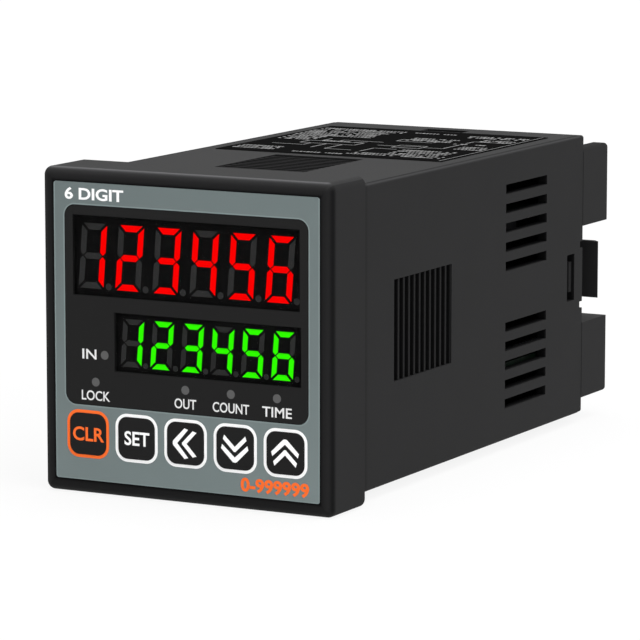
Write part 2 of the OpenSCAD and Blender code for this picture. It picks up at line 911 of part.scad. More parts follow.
module transformer_winding() {
    color([0.7, 0.4, 0.16]) translate([core_x, core_y, core_h / 2 - board_z])
        pin_y(bore_d - 2 * board_fit, -winding_len / 2, winding_len / 2);
}

module filter_capacitor() {
    color([0.1, 0.12, 0.3]) translate([cap_x, cap_y, -board_z]) cylinder(d = cap_d, h = cap_h);
}

// Terminal base

// One terminal row: inner wall, seats and fins, rounded at its two outer corners
module terminal_row() {
    intersection() {
        union() {
            span([-case_w / 2, flange_back, row_z], [case_w / 2, fin_back, row_z + row_wall]);
            span([-case_w / 2, flange_back, row_z], [case_w / 2, seat_y, seat_top]);
            for (s = [-1, 1]) {
                translate([s * (case_w - end_fin_t) / 2, (flange_back + fin_back) / 2, row_z + row_h / 2])
                    cube([end_fin_t, fin_len, row_h], center = true);
            }
            for (i = [1 : term_count - 1]) {
                translate([(i - term_count / 2) * bay_pitch, (flange_back + fin_back) / 2, row_z + row_h / 2])
                    cube([fin_t, fin_len, row_h], center = true);
            }
        }
        along_y(flange_back - cut, fin_back + cut) round_rect(case_w, 2 * row_top, fin_r);
    }
}

// Holes of one terminal: the screw's bore and the slot for the contact's tail
module terminal_cuts() {
    translate([0, 0, screw_z]) pin_y(screw_d + 2 * board_fit, bore_end, seat_y + cut);
    span(
        [-tail_w / 2 - board_fit, case_len - plug_t - cut, tail_z - board_fit],
        [tail_w / 2 + board_fit, seat_y + cut, tail_z + contact_t + board_fit]
    );
}

// Latch on the right: an arm along the case, a hook in the window, and a lever with a finger plate behind
module latch() {
    plate_out = case_w / 2 - latch_fit;
    plate_back = flange_back + plate_reach;
    plate_front = plate_back - plate_t;
    plate_in = plate_out - plate_w;
    span([arm_out - arm_t, arm_front, -arm_h / 2], [arm_out, flange_back, arm_h / 2]);
    span([plate_in, case_len, -arm_h / 2], [plate_in + arm_t, plate_front, arm_h / 2]);
    span([arm_out, hook_rear - hook_len, -hook_h / 2], [case_w / 2 - hook_recess, hook_rear, hook_h / 2]);
    translate([0, 0, -plate_h / 2]) linear_extrude(height = plate_h) polygon([
        [plate_in, plate_front], [plate_out, plate_front], [plate_out, plate_front + plate_edge],
        [plate_out - plate_t + plate_edge, plate_back], [plate_in, plate_back]
    ]);
}

// Nib on top of the rim, which snaps into the window above it
module nib() {
    span(
        [-hook_h / 2, hook_rear - hook_len, plug_w / 2 - rim_t],
        [hook_h / 2, hook_rear, case_w / 2 - hook_recess]
    );
}

// Room round the right latch arm inside the plug, and the notches that free it in the flange
module latch_relief() {
    free_h = arm_h / 2 + notch_h;
    span(
        [arm_out + arm_gap - relief_w, case_len - plug_t - rim_depth - cut, -free_h],
        [case_w / 2, case_len, free_h]
    );
    for (z = [-free_h, arm_h / 2]) {
        span(
            [case_w / 2 - notch_depth, case_len - cut, z],
            [case_w / 2 + cut, flange_back + cut, z + notch_h]
        );
    }
}

module terminal_base() {
    color(body_color) {
        difference() {
            union() {
                along_y(case_len, flange_back) round_rect(flange_w, flange_w, case_edge_r);
                along_y(case_len - plug_t - rim_depth, case_len) square(plug_w, center = true);
                both_halves() terminal_row();
            }
            along_y(case_len - plug_t - rim_depth - cut, case_len - plug_t)
                square(plug_w - 2 * rim_t, center = true);
            both_halves() at_bays() terminal_cuts();
            both_halves() latch_relief();
        }
        both_halves() {
            latch();
            nib();
        }
    }
}

module terminal_contacts() {
    color(metal_color) both_halves() at_bays() {
        difference() {
            span([-contact_w / 2, seat_y, tail_z], [contact_w / 2, seat_y + contact_t, seat_top - board_fit]);
            translate([0, 0, screw_z]) pin_y(screw_d + 2 * board_fit, seat_y - cut, seat_y + contact_t + cut);
        }
        span([-tail_w / 2, board_end - solder_len, tail_z], [tail_w / 2, seat_y, tail_z + contact_t]);
    }
}

module clamp_washers() {
    color(metal_color) both_halves() at_bays() translate([0, 0, screw_z]) difference() {
        along_y(seat_y + contact_t, washer_back) square(washer_w, center = true);
        pin_y(screw_d + 2 * board_fit, seat_y, washer_back + cut);
    }
}

module terminal_screws() {
    color(metal_color) both_halves() at_bays() translate([0, 0, screw_z]) difference() {
        union() {
            pin_y(screw_d, washer_back - screw_len, washer_back);
            pin_y(head_d, washer_back, washer_back + head_h);
        }
        for (turn = [0, 90]) {
            rotate([0, turn, 0]) translate([0, washer_back + head_h, 0])
                cube([head_d * drive_share, 2 * drive_depth, head_d * drive_reach], center = true);
        }
    }
}

front_bezel();
front_sheet();
display_window();
upper_display();
upper_lit_segments();
upper_unlit_segments();
lower_display();
lower_lit_segments();
lower_unlit_segments();
indicator_lights();
reset_key();
mode_key();
shift_key();
down_key();
up_key();
reset_plunger();
mode_plunger();
shift_plunger();
down_plunger();
up_plunger();
key_switches();
display_board();
case();
wiring_label();
logic_board();
power_board();
logic_header();
power_header();
microcontroller();
optocouplers();
output_relay();
transformer_core();
transformer_winding();
filter_capacitor();
terminal_base();
terminal_contacts();
clamp_washers();
terminal_screws();
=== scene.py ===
"""Panel counter: the finishes of its pieces, its printed marks, and a stage to show it on."""

import math
from typing import NamedTuple

import bmesh
import bpy
from bpy.props import FloatProperty, FloatVectorProperty, PointerProperty
from bpy.types import Operator, Panel, PropertyGroup
from mathutils import Matrix, Vector


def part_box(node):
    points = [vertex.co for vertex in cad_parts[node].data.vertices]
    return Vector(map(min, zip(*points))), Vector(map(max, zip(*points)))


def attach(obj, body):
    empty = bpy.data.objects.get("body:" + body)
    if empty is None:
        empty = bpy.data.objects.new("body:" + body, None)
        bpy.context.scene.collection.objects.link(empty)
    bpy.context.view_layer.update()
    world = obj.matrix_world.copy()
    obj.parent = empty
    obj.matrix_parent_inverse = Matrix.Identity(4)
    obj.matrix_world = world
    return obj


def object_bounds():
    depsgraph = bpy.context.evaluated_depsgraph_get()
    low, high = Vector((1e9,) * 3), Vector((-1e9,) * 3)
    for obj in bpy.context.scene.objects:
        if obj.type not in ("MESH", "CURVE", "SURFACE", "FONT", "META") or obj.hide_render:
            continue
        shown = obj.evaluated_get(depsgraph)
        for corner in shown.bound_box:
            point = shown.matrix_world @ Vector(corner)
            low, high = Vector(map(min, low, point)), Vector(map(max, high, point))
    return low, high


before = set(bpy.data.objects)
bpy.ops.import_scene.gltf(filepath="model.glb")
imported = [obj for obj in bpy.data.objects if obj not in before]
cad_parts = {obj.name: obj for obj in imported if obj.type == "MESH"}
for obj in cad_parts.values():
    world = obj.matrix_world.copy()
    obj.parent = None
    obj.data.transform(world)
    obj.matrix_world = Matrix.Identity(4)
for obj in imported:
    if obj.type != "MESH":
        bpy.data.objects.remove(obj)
CAD_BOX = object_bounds()

bl_info = {
    "name": "Panel counter",
    "version": (1, 0, 0),
    "blender": (4, 5, 0),
    "location": "3D View > Sidebar > Counter",
    "description": "Finishes the pieces of a panel counter, prints its face and label, and sets its stage",
    "category": "Object",
}

MM = 0.001
ROOT = "counter"
KEYS = ("reset", "mode", "shift", "down", "up")
TERMINALS_IN_ROW = 6

# How far the outlines of letters move outwards, in parts of the font's size
TITLE_BOLD = 0.025
RANGE_BOLD = 0.035
LEGEND_BOLD = 0.012
KEY_BOLD = 0.02
# Distance within which points of a printed mark become one
MERGE = 1e-7


# Sizes and colours that a user would change


def length(name, description, millimetres):
    """A length property, given in millimetres."""
    return FloatProperty(
        name=name, description=description, default=millimetres * MM, min=0.0, unit="LENGTH", precision=5
    )


def offset(name, description, millimetres):
    """A place along an axis, given in millimetres."""
    return FloatProperty(
        name=name, description=description, default=millimetres * MM, unit="LENGTH", precision=5
    )


def share(name, description, default):
    """A property between nothing and all."""
    return FloatProperty(
        name=name, description=description, default=default, min=0.0, max=1.0, subtype="FACTOR"
    )


def level(name, description, default):
    """A plain positive number, such as a lamp's power."""
    return FloatProperty(name=name, description=description, default=default, min=0.0)


def colour(name, description, default):
    """A colour property."""
    return FloatVectorProperty(
        name=name, description=description, default=default, size=3, min=0.0, max=1.0, subtype="COLOR"
    )


def angle(name, description, degrees):
    """An angle property, given in degrees."""
    return FloatProperty(name=name, description=description, default=math.radians(degrees), subtype="ANGLE")


class CounterFinishes(PropertyGroup):
    """Colours of the counter's pieces."""

    moulding: colour("Moulding", "Black of the bezel, case and terminal base", (0.0075, 0.0075, 0.0078))
    sheet: colour("Front sheet", "Grey of the front sheet", (0.150, 0.184, 0.184))
    window: colour("Window", "Smoke grey of the window's mask", (0.008, 0.008, 0.008))
    display: colour("Display", "Black of the display modules", (0.003, 0.003, 0.003))
    upper_lit: colour("Upper digits", "Light of the upper digits", (1.0, 0.0, 0.0))
    lower_lit: colour("Lower digits", "Light of the lower digits", (0.03, 1.0, 0.0))
    unlit: colour("Unlit segments", "Grey of the segments that are off", (0.030, 0.030, 0.030))
    guide: colour("Indicators", "Grey of the indicator lights that are off", (0.10, 0.10, 0.10))
    key: colour("Keys", "Black of the key caps", (0.008, 0.008, 0.008))
    white_ink: colour("White ink", "White of the printed marks", (0.95, 0.95, 0.95))
    orange_ink: colour("Orange ink", "Orange of the reset key's marks and the range", (0.95, 0.155, 0.026))
    legend_ink: colour("Legend ink", "White of the small legends on the window", (0.75, 0.75, 0.75))
    label: colour("Label", "Black of the wiring label", (0.005, 0.005, 0.005))
    label_ink: colour("Label ink", "Grey of the wiring label's lines and small print", (0.2, 0.2, 0.2))
    board: colour("Boards", "Green of the circuit boards", (0.0008, 0.0026, 0.0013))
    steel: colour("Screws", "Plated steel of the screws and washers", (0.62, 0.61, 0.58))
    brass: colour("Contacts", "Plated brass of the terminal contacts", (0.70, 0.66, 0.55))
    clear: share("Clear parts", "How clear the window is over the displays", 0.97)


class CounterPrint(PropertyGroup):
    """Sizes and places of the printed marks."""

    ink: length("Ink", "Thickness of a layer of ink", 0.02)
    upper_clear_width: length("Upper clear width", "Width of the clear part over the upper display", 37.5)
    upper_clear_height: length("Upper clear height", "Height of the clear part over the upper display", 11.79)
    upper_clear_x: offset("Upper clear X", "Middle of the clear part over the upper display", 0.0)
    upper_clear_z: offset("Upper clear Z", "Middle height of the clear part over the upper display", 11.3)
    lower_clear_width: length("Lower clear width", "Width of the clear part over the lower display", 30.76)
    lower_clear_height: length("Lower clear height", "Height of the clear part over the lower display", 8.66)
    lower_clear_x: offset("Lower clear X", "Middle of the clear part over the lower display", 3.58)
    lower_clear_z: offset("Lower clear Z", "Middle height of the clear part over the lower display", -1.13)
    light_pitch: length("Light pitch", "Pitch of the places in the indicator row", 7.53)
    light_size: length("Light size", "Diameter of the grey spot over an indicator light", 1.3)
    side_light_x: offset("Side light X", "Place of the light beside the lower display", -13.5)
    legend_height: length("Legend height", "Height of the legends of the indicator lights", 1.47)
    legend_drop: length("Legend drop", "Distance from an indicator light down to its legend", 2.75)
    legend_letter: length("Legend letter", "Width that each letter of a legend takes", 1.2)
    side_legend_gap: length("Side legend gap", "Distance from the side light to its legend's middle", 2.6)
    hairline: length("Hairline", "Width of the pale line round the window and the sheet", 0.2)
    window_radius: length("Window radius", "Corner radius of the window", 1.6)
    ring_size: length("Ring size", "Outer width of the ring round a key", 7.1)
    ring_line: length("Ring line", "Width of the ring's line", 0.45)
    ring_radius: length("Ring radius", "Outer corner radius of the ring", 1.95)
    key_word_height: length("Key word height", "Height of the words on the keys", 2.1)
    key_word_shift: offset("Key word shift", "Distance of a key's word right of the key's middle", 0.15)
    reset_word_width: length("Reset word width", "Width of the word on the reset key", 5.3)
    mode_word_width: length("Mode word width", "Width of the word on the mode key", 4.2)
    title_height: length("Title height", "Height of the words above the window", 1.77)
    title_width: length("Title width", "Width of the words above the window", 9.9)
    title_inset: length("Title inset", "Distance from the sheet's left edge to the words", 1.89)
    title_drop: length("Title drop", "Distance from the sheet's top down to the words' baseline", 2.56)
    range_height: length("Range height", "Height of the numbers below the keys", 2.1)
    range_width: length("Range width", "Width of the numbers below the keys", 11.15)
    range_x: offset("Range X", "Left end of the numbers below the keys", 9.1)
    range_rise: length("Range rise", "Distance from the sheet's lower edge up to the numbers", 0.66)
    label_line: length("Label line", "Width of the lines on the wiring label", 0.2)
    letter_pitch: length("Letter pitch", "Pitch of the letters in the label's small print", 0.62)
    letter_height: length("Letter height", "Height of the letters in the label's small print", 1.0)
    terminal_number: length("Terminal number", "Height of the numbers beside the terminals", 2.1)
    number_reach: length("Number reach", "Distance from the middle to the numbers' outer ends", 6.9)


class CounterStage(PropertyGroup):
    """Light and camera."""

    azimuth: angle("Azimuth", "Camera's angle round the counter, from its front towards its right", 27.9987)
    elevation: angle("Elevation", "Camera's angle above the horizon", 8.7118)
    distance: length("Distance", "Camera's distance from its target", 591.354)
    target: FloatVectorProperty(
        name="Target", description="Point that the camera looks at", default=(0.0060434, 0.020, -0.0006565),
        size=3, subtype="TRANSLATION", unit="LENGTH", precision=5,
    )
    lens: FloatProperty(
        name="Lens", description="Focal length on a sensor 36 mm wide", default=222.033,
        min=1.0, unit="CAMERA",
    )
    ambient: level("Ambient", "Light that comes evenly from all round", 0.4)
    top_strength: level("Top lamp", "Strength of the wide lamp above", 3.3)
    side_strength: level("Side lamp", "Strength of the wide lamp on the counter's right", 2.6)
    front_strength: level("Front lamp", "Strength of the wide lamp before the counter", 0.5)
    spread: angle("Lamp spread", "Angle that each wide lamp fills in the sky", 60.0)
    floor_tone: share("Floor tone", "How much of its light the floor gives back", 0.6)
    shadow: share("Shadow", "How strongly the floor shows the counter's shadow", 0.12)


# Shader maths


class Graph:
    """A node tree in the making."""

    def __init__(self, tree):
        self.tree = tree

    def node(self, kind, settings=None, sockets=None):
        """Adds a node, with its settings first and then the values or links of its sockets."""
        node = self.tree.nodes.new(kind)
        for setting, value in (settings or {}).items():
            setattr(node, setting, value)
        for socket, value in (sockets or {}).items():
            self.join(node.inputs[socket], value)
        return node

    def join(self, socket, value):
        """Links a reading or a socket to a socket, or sets its value."""
        if isinstance(value, Reading):
            value = value.socket
        if isinstance(value, bpy.types.NodeSocket):
            self.tree.links.new(value, socket)
        else:
            socket.default_value = value


class Reading:
    """A shader socket that takes part in sums, each of which adds its Math node."""

    def __init__(self, graph, socket):
        self.graph = graph
        self.socket = socket

    def _math(self, operation, first, second=0.0):
        node = self.graph.node("ShaderNodeMath", {"operation": operation}, {0: first, 1: second})
        return Reading(self.graph, node.outputs[0])

    def __add__(self, other):
        return self._math("ADD", self, other)

    __radd__ = __add__

    def __sub__(self, other):
        return self._math("SUBTRACT", self, other)

    def __rsub__(self, other):
        return self._math("SUBTRACT", other, self)

    def __mul__(self, other):
        return self._math("MULTIPLY", self, other)

    __rmul__ = __mul__

    def __truediv__(self, other):
        return self._math("DIVIDE", self, other)

    def __mod__(self, other):
        return self._math("FLOORED_MODULO", self, other)

    def __gt__(self, other):
        return self._math("GREATER_THAN", self, other)

    def __lt__(self, other):
        return self._math("LESS_THAN", self, other)

    def __abs__(self):
        return self._math("ABSOLUTE", self)

    def __or__(self, other):
        return self._math("MAXIMUM", self, other)

    def __and__(self, other):
        return self._math("MINIMUM", self, other)


class Finish(Graph):
    """A material in the making, with its Principled shader and its Object coordinates."""

    # Places of a colour Mix node's sockets, whose names it shares with its other kinds
    MIX_FACTOR, MIX_FIRST, MIX_SECOND, MIX_RESULT = 0, 6, 7, 2

    def __init__(self, name, **constants):
        self.material = bpy.data.materials.new(name)
        self.material.use_nodes = True
        super().__init__(self.material.node_tree)
        self.shader = self.tree.nodes["Principled BSDF"]
        self.coordinates = self.node("ShaderNodeTexCoord").outputs["Object"]
        for socket, value in constants.items():
            self.shader.inputs[socket.replace("_", " ")].default_value = value

    def feed(self, name, value):
        """Gives one of the shader's sockets a value or a link."""
        self.join(self.shader.inputs[name], value)

    def place(self):
        """X, Y and Z on the piece, in metres."""
        parts = self.node("ShaderNodeSeparateXYZ", sockets={0: self.coordinates})
        return [Reading(self, socket) for socket in parts.outputs]

    def facing(self):
        """X, Y and Z of the direction that the surface faces."""
        normal = self.node("ShaderNodeTexCoord").outputs["Normal"]
        parts = self.node("ShaderNodeSeparateXYZ", sockets={0: normal})
        return [Reading(self, socket) for socket in parts.outputs]

    def noise(self, size, detail=2.0, stretch=(1.0, 1.0, 1.0)):
        """Noise from 0 to 1 whose grain has about this size in metres, drawn out by stretch."""
        scale = [1.0 / (size * part) for part in stretch]
        mapped = self.node("ShaderNodeMapping", sockets={"Vector": self.coordinates, "Scale": scale})
        grain = self.node(
            "ShaderNodeTexNoise", sockets={"Vector": mapped.outputs[0], "Scale": 1.0, "Detail": detail}
        )
        return Reading(self, grain.outputs["Fac"])

    def blend(self, factor, first, second):
        """A colour between two colours."""
        first, second = [
            part if isinstance(part, bpy.types.NodeSocket) else (*part, 1.0) for part in (first, second)
        ]
        mixed = self.node(
            "ShaderNodeMix", {"data_type": "RGBA", "clamp_factor": True},
            {self.MIX_FACTOR: factor, self.MIX_FIRST: first, self.MIX_SECOND: second},
        )
        return mixed.outputs[self.MIX_RESULT]

    def mottle(self, factor, base, dark, light):
        """Lets the base colour range from dark times a colour to light times it."""
        self.feed("Base Color", self.blend(factor, tone(base, dark), tone(base, light)))

    def emboss(self, height, depth, strength=1.0):
        """Raises the surface by height times depth, in metres."""
        bump = self.node(
            "ShaderNodeBump", sockets={"Height": height, "Distance": depth, "Strength": strength}
        )
        self.feed("Normal", bump.outputs[0])

    def paint_light(self, factor, base):
        """Painted light: lays a colour over the base colour that is there."""
        below = self.shader.inputs["Base Color"].links[0].from_socket
        self.feed("Base Color", self.blend(factor, below, base))

    def paint_shade(self, factor, base):
        """Painted shade: takes the gloss away where the factor is one, and leaves a darker matt colour."""
        matt = self.node("ShaderNodeBsdfDiffuse", sockets={"Color": (*base, 1.0)})
        skin = self.node(
            "ShaderNodeMixShader", sockets={0: factor, 1: self.shader.outputs[0], 2: matt.outputs[0]}
        )
        self.join(self.tree.nodes["Material Output"].inputs["Surface"], skin.outputs[0])


def tone(base, factor):
    """A colour made lighter or darker."""
    return tuple(min(1.0, part * factor) for part in base)


def upright(x, z, centre_x, centre_z, width, height):
    """Mask of an upright rectangle, from readings of X and Z."""
    return (abs(x - centre_x) < width / 2.0) * (abs(z - centre_z) < height / 2.0)


# Finishes


class Skin(NamedTuple):
    """Gloss and grain of a moulded surface, whatever its colour."""

    roughness: float
    grain_size: float
    grain_depth: float
    specular: float


CASE_SKIN = Skin(0.74, 0.3 * MM, 0.006 * MM, 0.13)
DISPLAY_SKIN = Skin(0.7, 0.2 * MM, 0.004 * MM, 0.02)
SEGMENT_SKIN = Skin(0.6, 0.25 * MM, 0.004 * MM, 0.0)
GUIDE_SKIN = Skin(0.5, 0.3 * MM, 0.004 * MM, 0.1)
KEY_SKIN = Skin(0.62, 0.2 * MM, 0.004 * MM, 0.12)
LABEL_SKIN = Skin(0.8, 0.25 * MM, 0.003 * MM, 0.0)
INSIDE_SKIN = Skin(0.5, 0.3 * MM, 0.006 * MM, 0.15)
# Size of the clouds in which a large surface's colour varies
CLOUD = 9.0 * MM
# How much darker a moulding is where its painted shade takes the gloss away
PAINTED_SHADE = 0.8
# Depth of a front face's skin, behind which its recess or its cut edge begins
SKIN_DEPTH = 0.02 * MM
# Black of the front sheet's cut edge: painted shade that makes a dark seam beside the bezel
SEAM_SHADE = (0.002, 0.002, 0.002)


def moulded_finish(name, base, skin, crown=0.0):
    """Moulded plastic with a fine eroded grain and uneven gloss, which crown lets fall off outwards."""
    finish = Finish(name, Specular_IOR_Level=skin.specular)
    grain = finish.noise(skin.grain_size, detail=3.0)
    finish.mottle(finish.noise(CLOUD), base, 0.9, 1.1)
    finish.feed("Roughness", skin.roughness - 0.05 + 0.1 * grain)
    if crown:
        x, _, z = finish.place()
        finish.emboss(grain * skin.grain_depth - crown * (abs(x) | abs(z)), depth=1.0)
    else:
        finish.emboss(grain, skin.grain_depth)
    return finish


def case_finish(base, edge, groove_fade, ledge_fade):
    """The case's plastic, with painted shade in its grooves and slots and inside, behind the bezel and beside
    its upper edges, and a painted highlight along its edges.
    """
    corner = 1.0 * MM
    joint_shade, joint_start, joint_fade = 0.25, 3.2 * MM, 0.6 * MM
    line_shade, line_fall, line_shift = 0.6, 0.65, 0.3
    highlight_gain, highlight_tone = 2.0, 3.0
    finish = moulded_finish("case_plastic", base, CASE_SKIN)
    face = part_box("wiring_label")[0].z
    x, y, z = finish.place()
    up = finish.facing()[2]
    out, beside = abs(x) | abs(z), abs(x) & abs(z)
    # Painted shade by depth under the outer faces: the lower side of a slot darkens more slowly than a groove
    ledge = (up > 0.5) * (abs(x) > abs(z))
    depth = (face - out) / (groove_fade + (ledge_fade - groove_fade) * ledge)
    sunk = depth * (beside < face - corner)
    # Painted shade: a soft shade behind the bezel, and a dark line beside the upper edges
    joint = (joint_shade - joint_shade * (y - joint_start) / joint_fade) & joint_shade
    turn = (beside - (face - edge)) / edge
    line = (line_shade - line_fall * abs(turn + line_shift)) * (up > 0.85)
    finish.paint_shade(sunk | joint | line, tone(base, PAINTED_SHADE))
    # Painted highlight: the rounded edges are made lighter
    finish.paint_light(highlight_gain * turn * turn * (turn > 0.0), tone(base, highlight_tone))
    return finish


def bezel_finish(base, edge, seam, shade):
    """The bezel's plastic, with painted shade on its upright edges, on its front beside the seam and in its
    recess, and a painted highlight along its top edge.
    """
    # The gains bring the highest value on a rounded edge to about one
    bend_gain, bend_shade = 2.6, 0.9
    ridge_gain, ridge_tone = 5.8, 9.0
    finish = moulded_finish("bezel_plastic", base, CASE_SKIN, crown=0.5)
    low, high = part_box("front_bezel")
    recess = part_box("front_sheet")[1].x + seam
    x, y, z = finish.place()
    out = abs(x) | abs(z)
    front = (low.y + edge - y) / edge | 0.0
    beside = (abs(x) - (high.x - edge)) / edge | 0.0
    above = (z - (high.z - edge)) / edge | 0.0
    sunk = (out < recess) * (y > low.y + SKIN_DEPTH)
    bend = bend_gain * front * beside * beside
    near = (recess + shade - out) / shade | 0.0
    # Painted shade: a dark valley on the upright rounded edges, a dark band on the front beside the seam, and
    # black in the recess
    finish.paint_shade((bend_shade * bend * bend) | (near * near * (front > 0.9)) | sunk, tone(base, PAINTED_SHADE))
    # Painted highlight along the top rounded edge
    crest = above * above * above
    ridge = crest * crest * crest * crest
    finish.paint_light(ridge_gain * front * ridge, tone(base, ridge_tone))
    return finish


def base_finish(base):
    """The terminal base's plastic, with painted shade on upward faces near its top and painted light that
    makes it paler in front, where its finger plates show.
    """
    finish = moulded_finish("base_plastic", base, CASE_SKIN)
    _, back, up = finish.facing()
    near_top = finish.place()[2] > 0.8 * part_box("terminal_base")[1].z
    # Painted shade on the upward faces near the top
    finish.paint_shade(0.5 * up * near_top, tone(base, PAINTED_SHADE))
    # Painted light: faces that look forward are made paler
    finish.paint_light(0.0 - back, tone(base, 1.8))
    return finish


def sheet_finish(base, line, corner):
    """Grey face sheet with painted light that grows towards its right and bottom, a painted highlight as a
    pale hairline round the window and along its edge, and black painted shade where it is cut.
    """
    # Painted light: how much of the lightening runs to the right and to the bottom, and how much the clouds
    # add
    to_right, to_bottom, clouded = 0.125, 0.875, 0.2
    finish = Finish("sheet_print", Specular_IOR_Level=0.15)
    low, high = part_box("front_sheet")
    window_low, window_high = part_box("display_window")
    centre, half = (window_low + window_high) / 2.0, (window_high - window_low) / 2.0
    x, y, z = finish.place()
    across = (abs(x - centre.x) - (half.x - corner)) | 0.0
    above = (abs(z - centre.z) - (half.z - corner)) | 0.0
    rim = corner + 1.5 * line
    beside = across * across + above * above < rim * rim
    edge = (abs(x) | (0.0 - z)) > high.x - line
    grain = finish.noise(0.16 * MM, detail=3.0)
    cloud = finish.noise(CLOUD)
    fall = (high.z - z) / (high.z - low.z)
    shade = to_right * (1.0 + x / high.x) + to_bottom * fall * fall * fall
    grey = finish.blend(shade + clouded * (cloud - 0.5), tone(base, 0.88), tone(base, 1.16))
    # Painted highlight: a pale hairline round the window and along the sheet's edge
    finish.feed("Base Color", finish.blend(beside | edge, grey, tone(base, 1.3)))
    finish.feed("Roughness", 0.5 + 0.1 * grain)
    finish.emboss(grain, 0.003 * MM)
    # Painted shade: the cut edge is black, as a dark seam beside the bezel
    finish.paint_shade(y > low.y + SKIN_DEPTH, SEAM_SHADE)
    return finish


def ink_finish(name, base):
    """Screen-printed ink, matt and faintly uneven."""
    finish = Finish(name, Specular_IOR_Level=0.1)
    speck = finish.noise(0.12 * MM)
    finish.mottle(speck, base, 0.97, 1.03)
    finish.feed("Roughness", 0.6 + 0.1 * speck)
    return finish


def lit_finish(name, light):
    """A segment that glows, a little less towards the light's uneven spots."""
    finish = Finish(name, Specular_IOR_Level=0.0, Emission_Strength=1.0)
    spot = finish.noise(1.6 * MM, detail=1.0)
    finish.feed("Emission Color", finish.blend(spot, tone(light, 0.94), light))
    finish.mottle(spot, light, 0.02, 0.03)
    finish.feed("Roughness", 0.5 + 0.1 * spot)
    return finish


def metal_finish(name, base, roughness):
    """Plated metal with fine drawing marks."""
    finish = Finish(name, Metallic=1.0)
    marks = finish.noise(0.15 * MM, stretch=(1.0, 6.0, 1.0))
    finish.mottle(finish.noise(2.0 * MM), base, 0.92, 1.06)
    finish.feed("Roughness", roughness - 0.06 + 0.12 * marks)
    finish.emboss(marks, 0.002 * MM, strength=0.5)
    return finish


def board_finish(base):
    """Glass laminate under green lacquer, with tracks that show through it."""
    finish = Finish("board_laminate", Specular_IOR_Level=0.05)
    x, y, _ = finish.place()
    pitch = 1.27 * MM
    wander = finish.noise(5.0 * MM, detail=0.0) * (3.0 * MM)
    across = ((x + wander) % pitch) < 0.4 * pitch
    along = ((y + wander) % (3.0 * pitch)) < 0.25 * pitch
    tracks = across | along
    finish.feed("Base Color", finish.blend(tracks, base, tone(base, 1.9)))
    finish.feed("Roughness", 0.38 + 0.1 * finish.noise(1.0 * MM))
    finish.emboss(tracks, 0.03 * MM, strength=0.6)
    return finish


def winding_finish():
    """Enamelled copper wire, wound side by side."""
    finish = Finish("winding_copper", Metallic=1.0)
    wire = 0.35 * MM
    across = abs((finish.place()[1] % wire) - 0.5 * wire) / (0.5 * wire)
    # Painted shade: the copper darkens towards each wire's sides, between the wires
    finish.feed("Base Color", finish.blend(across, (0.62, 0.27, 0.09), (0.28, 0.1, 0.03)))
    finish.feed("Roughness", 0.3 + 0.15 * across)
    finish.emboss(1.0 - across * across, 0.15 * MM)
    return finish


def sleeve_finish():
    """Printed sleeve of a capacitor, with a pale stripe down one side."""
    finish = Finish("capacitor_sleeve")
    low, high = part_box("filter_capacitor")
    x, _, z = finish.place()
    stripe = (x > low.x + 0.75 * (high.x - low.x)) * (z < high.z - 1.0 * MM)
    top = z > high.z - 0.3 * MM
    sleeve = finish.blend(stripe, (0.012, 0.016, 0.05), (0.35, 0.36, 0.4))
    finish.feed("Base Color", finish.blend(top, sleeve, (0.6, 0.6, 0.6)))
    finish.feed("Metallic", top)
    finish.feed("Roughness", 0.35 + 0.08 * finish.noise(0.8 * MM))
    return finish


def window_finish(base, clear, sizes):
    """Smoke-coloured window, printed opaque at the back except over the displays."""
    finish = Finish("window_mask", Specular_IOR_Level=0.12)
    x, _, z = finish.place()
    upper = upright(
        x, z, sizes.upper_clear_x, sizes.upper_clear_z, sizes.upper_clear_width, sizes.upper_clear_height
    )
    lower = upright(
        x, z, sizes.lower_clear_x, sizes.lower_clear_z, sizes.lower_clear_width, sizes.lower_clear_height
    )
    haze = finish.noise(3.0 * MM)
    finish.mottle(haze, base, 0.95, 1.05)
    finish.feed("Roughness", 0.5 + 0.08 * haze)
    finish.feed("Alpha", 1.0 - clear * (upper | lower))
    return finish


def paint(finish, slot, *names):
    """Gives CAD nodes their finish. The slot is not used."""
    for name in names:
        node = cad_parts[name]
        node.data.materials.clear()
        node.data.materials.append(finish.material)


# Printed marks


RIGHT = Vector((1.0, 0.0, 0.0))
BACK = Vector((0.0, 1.0, 0.0))
UP = Vector((0.0, 0.0, 1.0))
# Points on each corner of a ring
RING_CORNER = 10
# Smallest letter of the small print, in parts of the largest
SMALLEST_LETTER = (0.45, 0.5, 1.0)


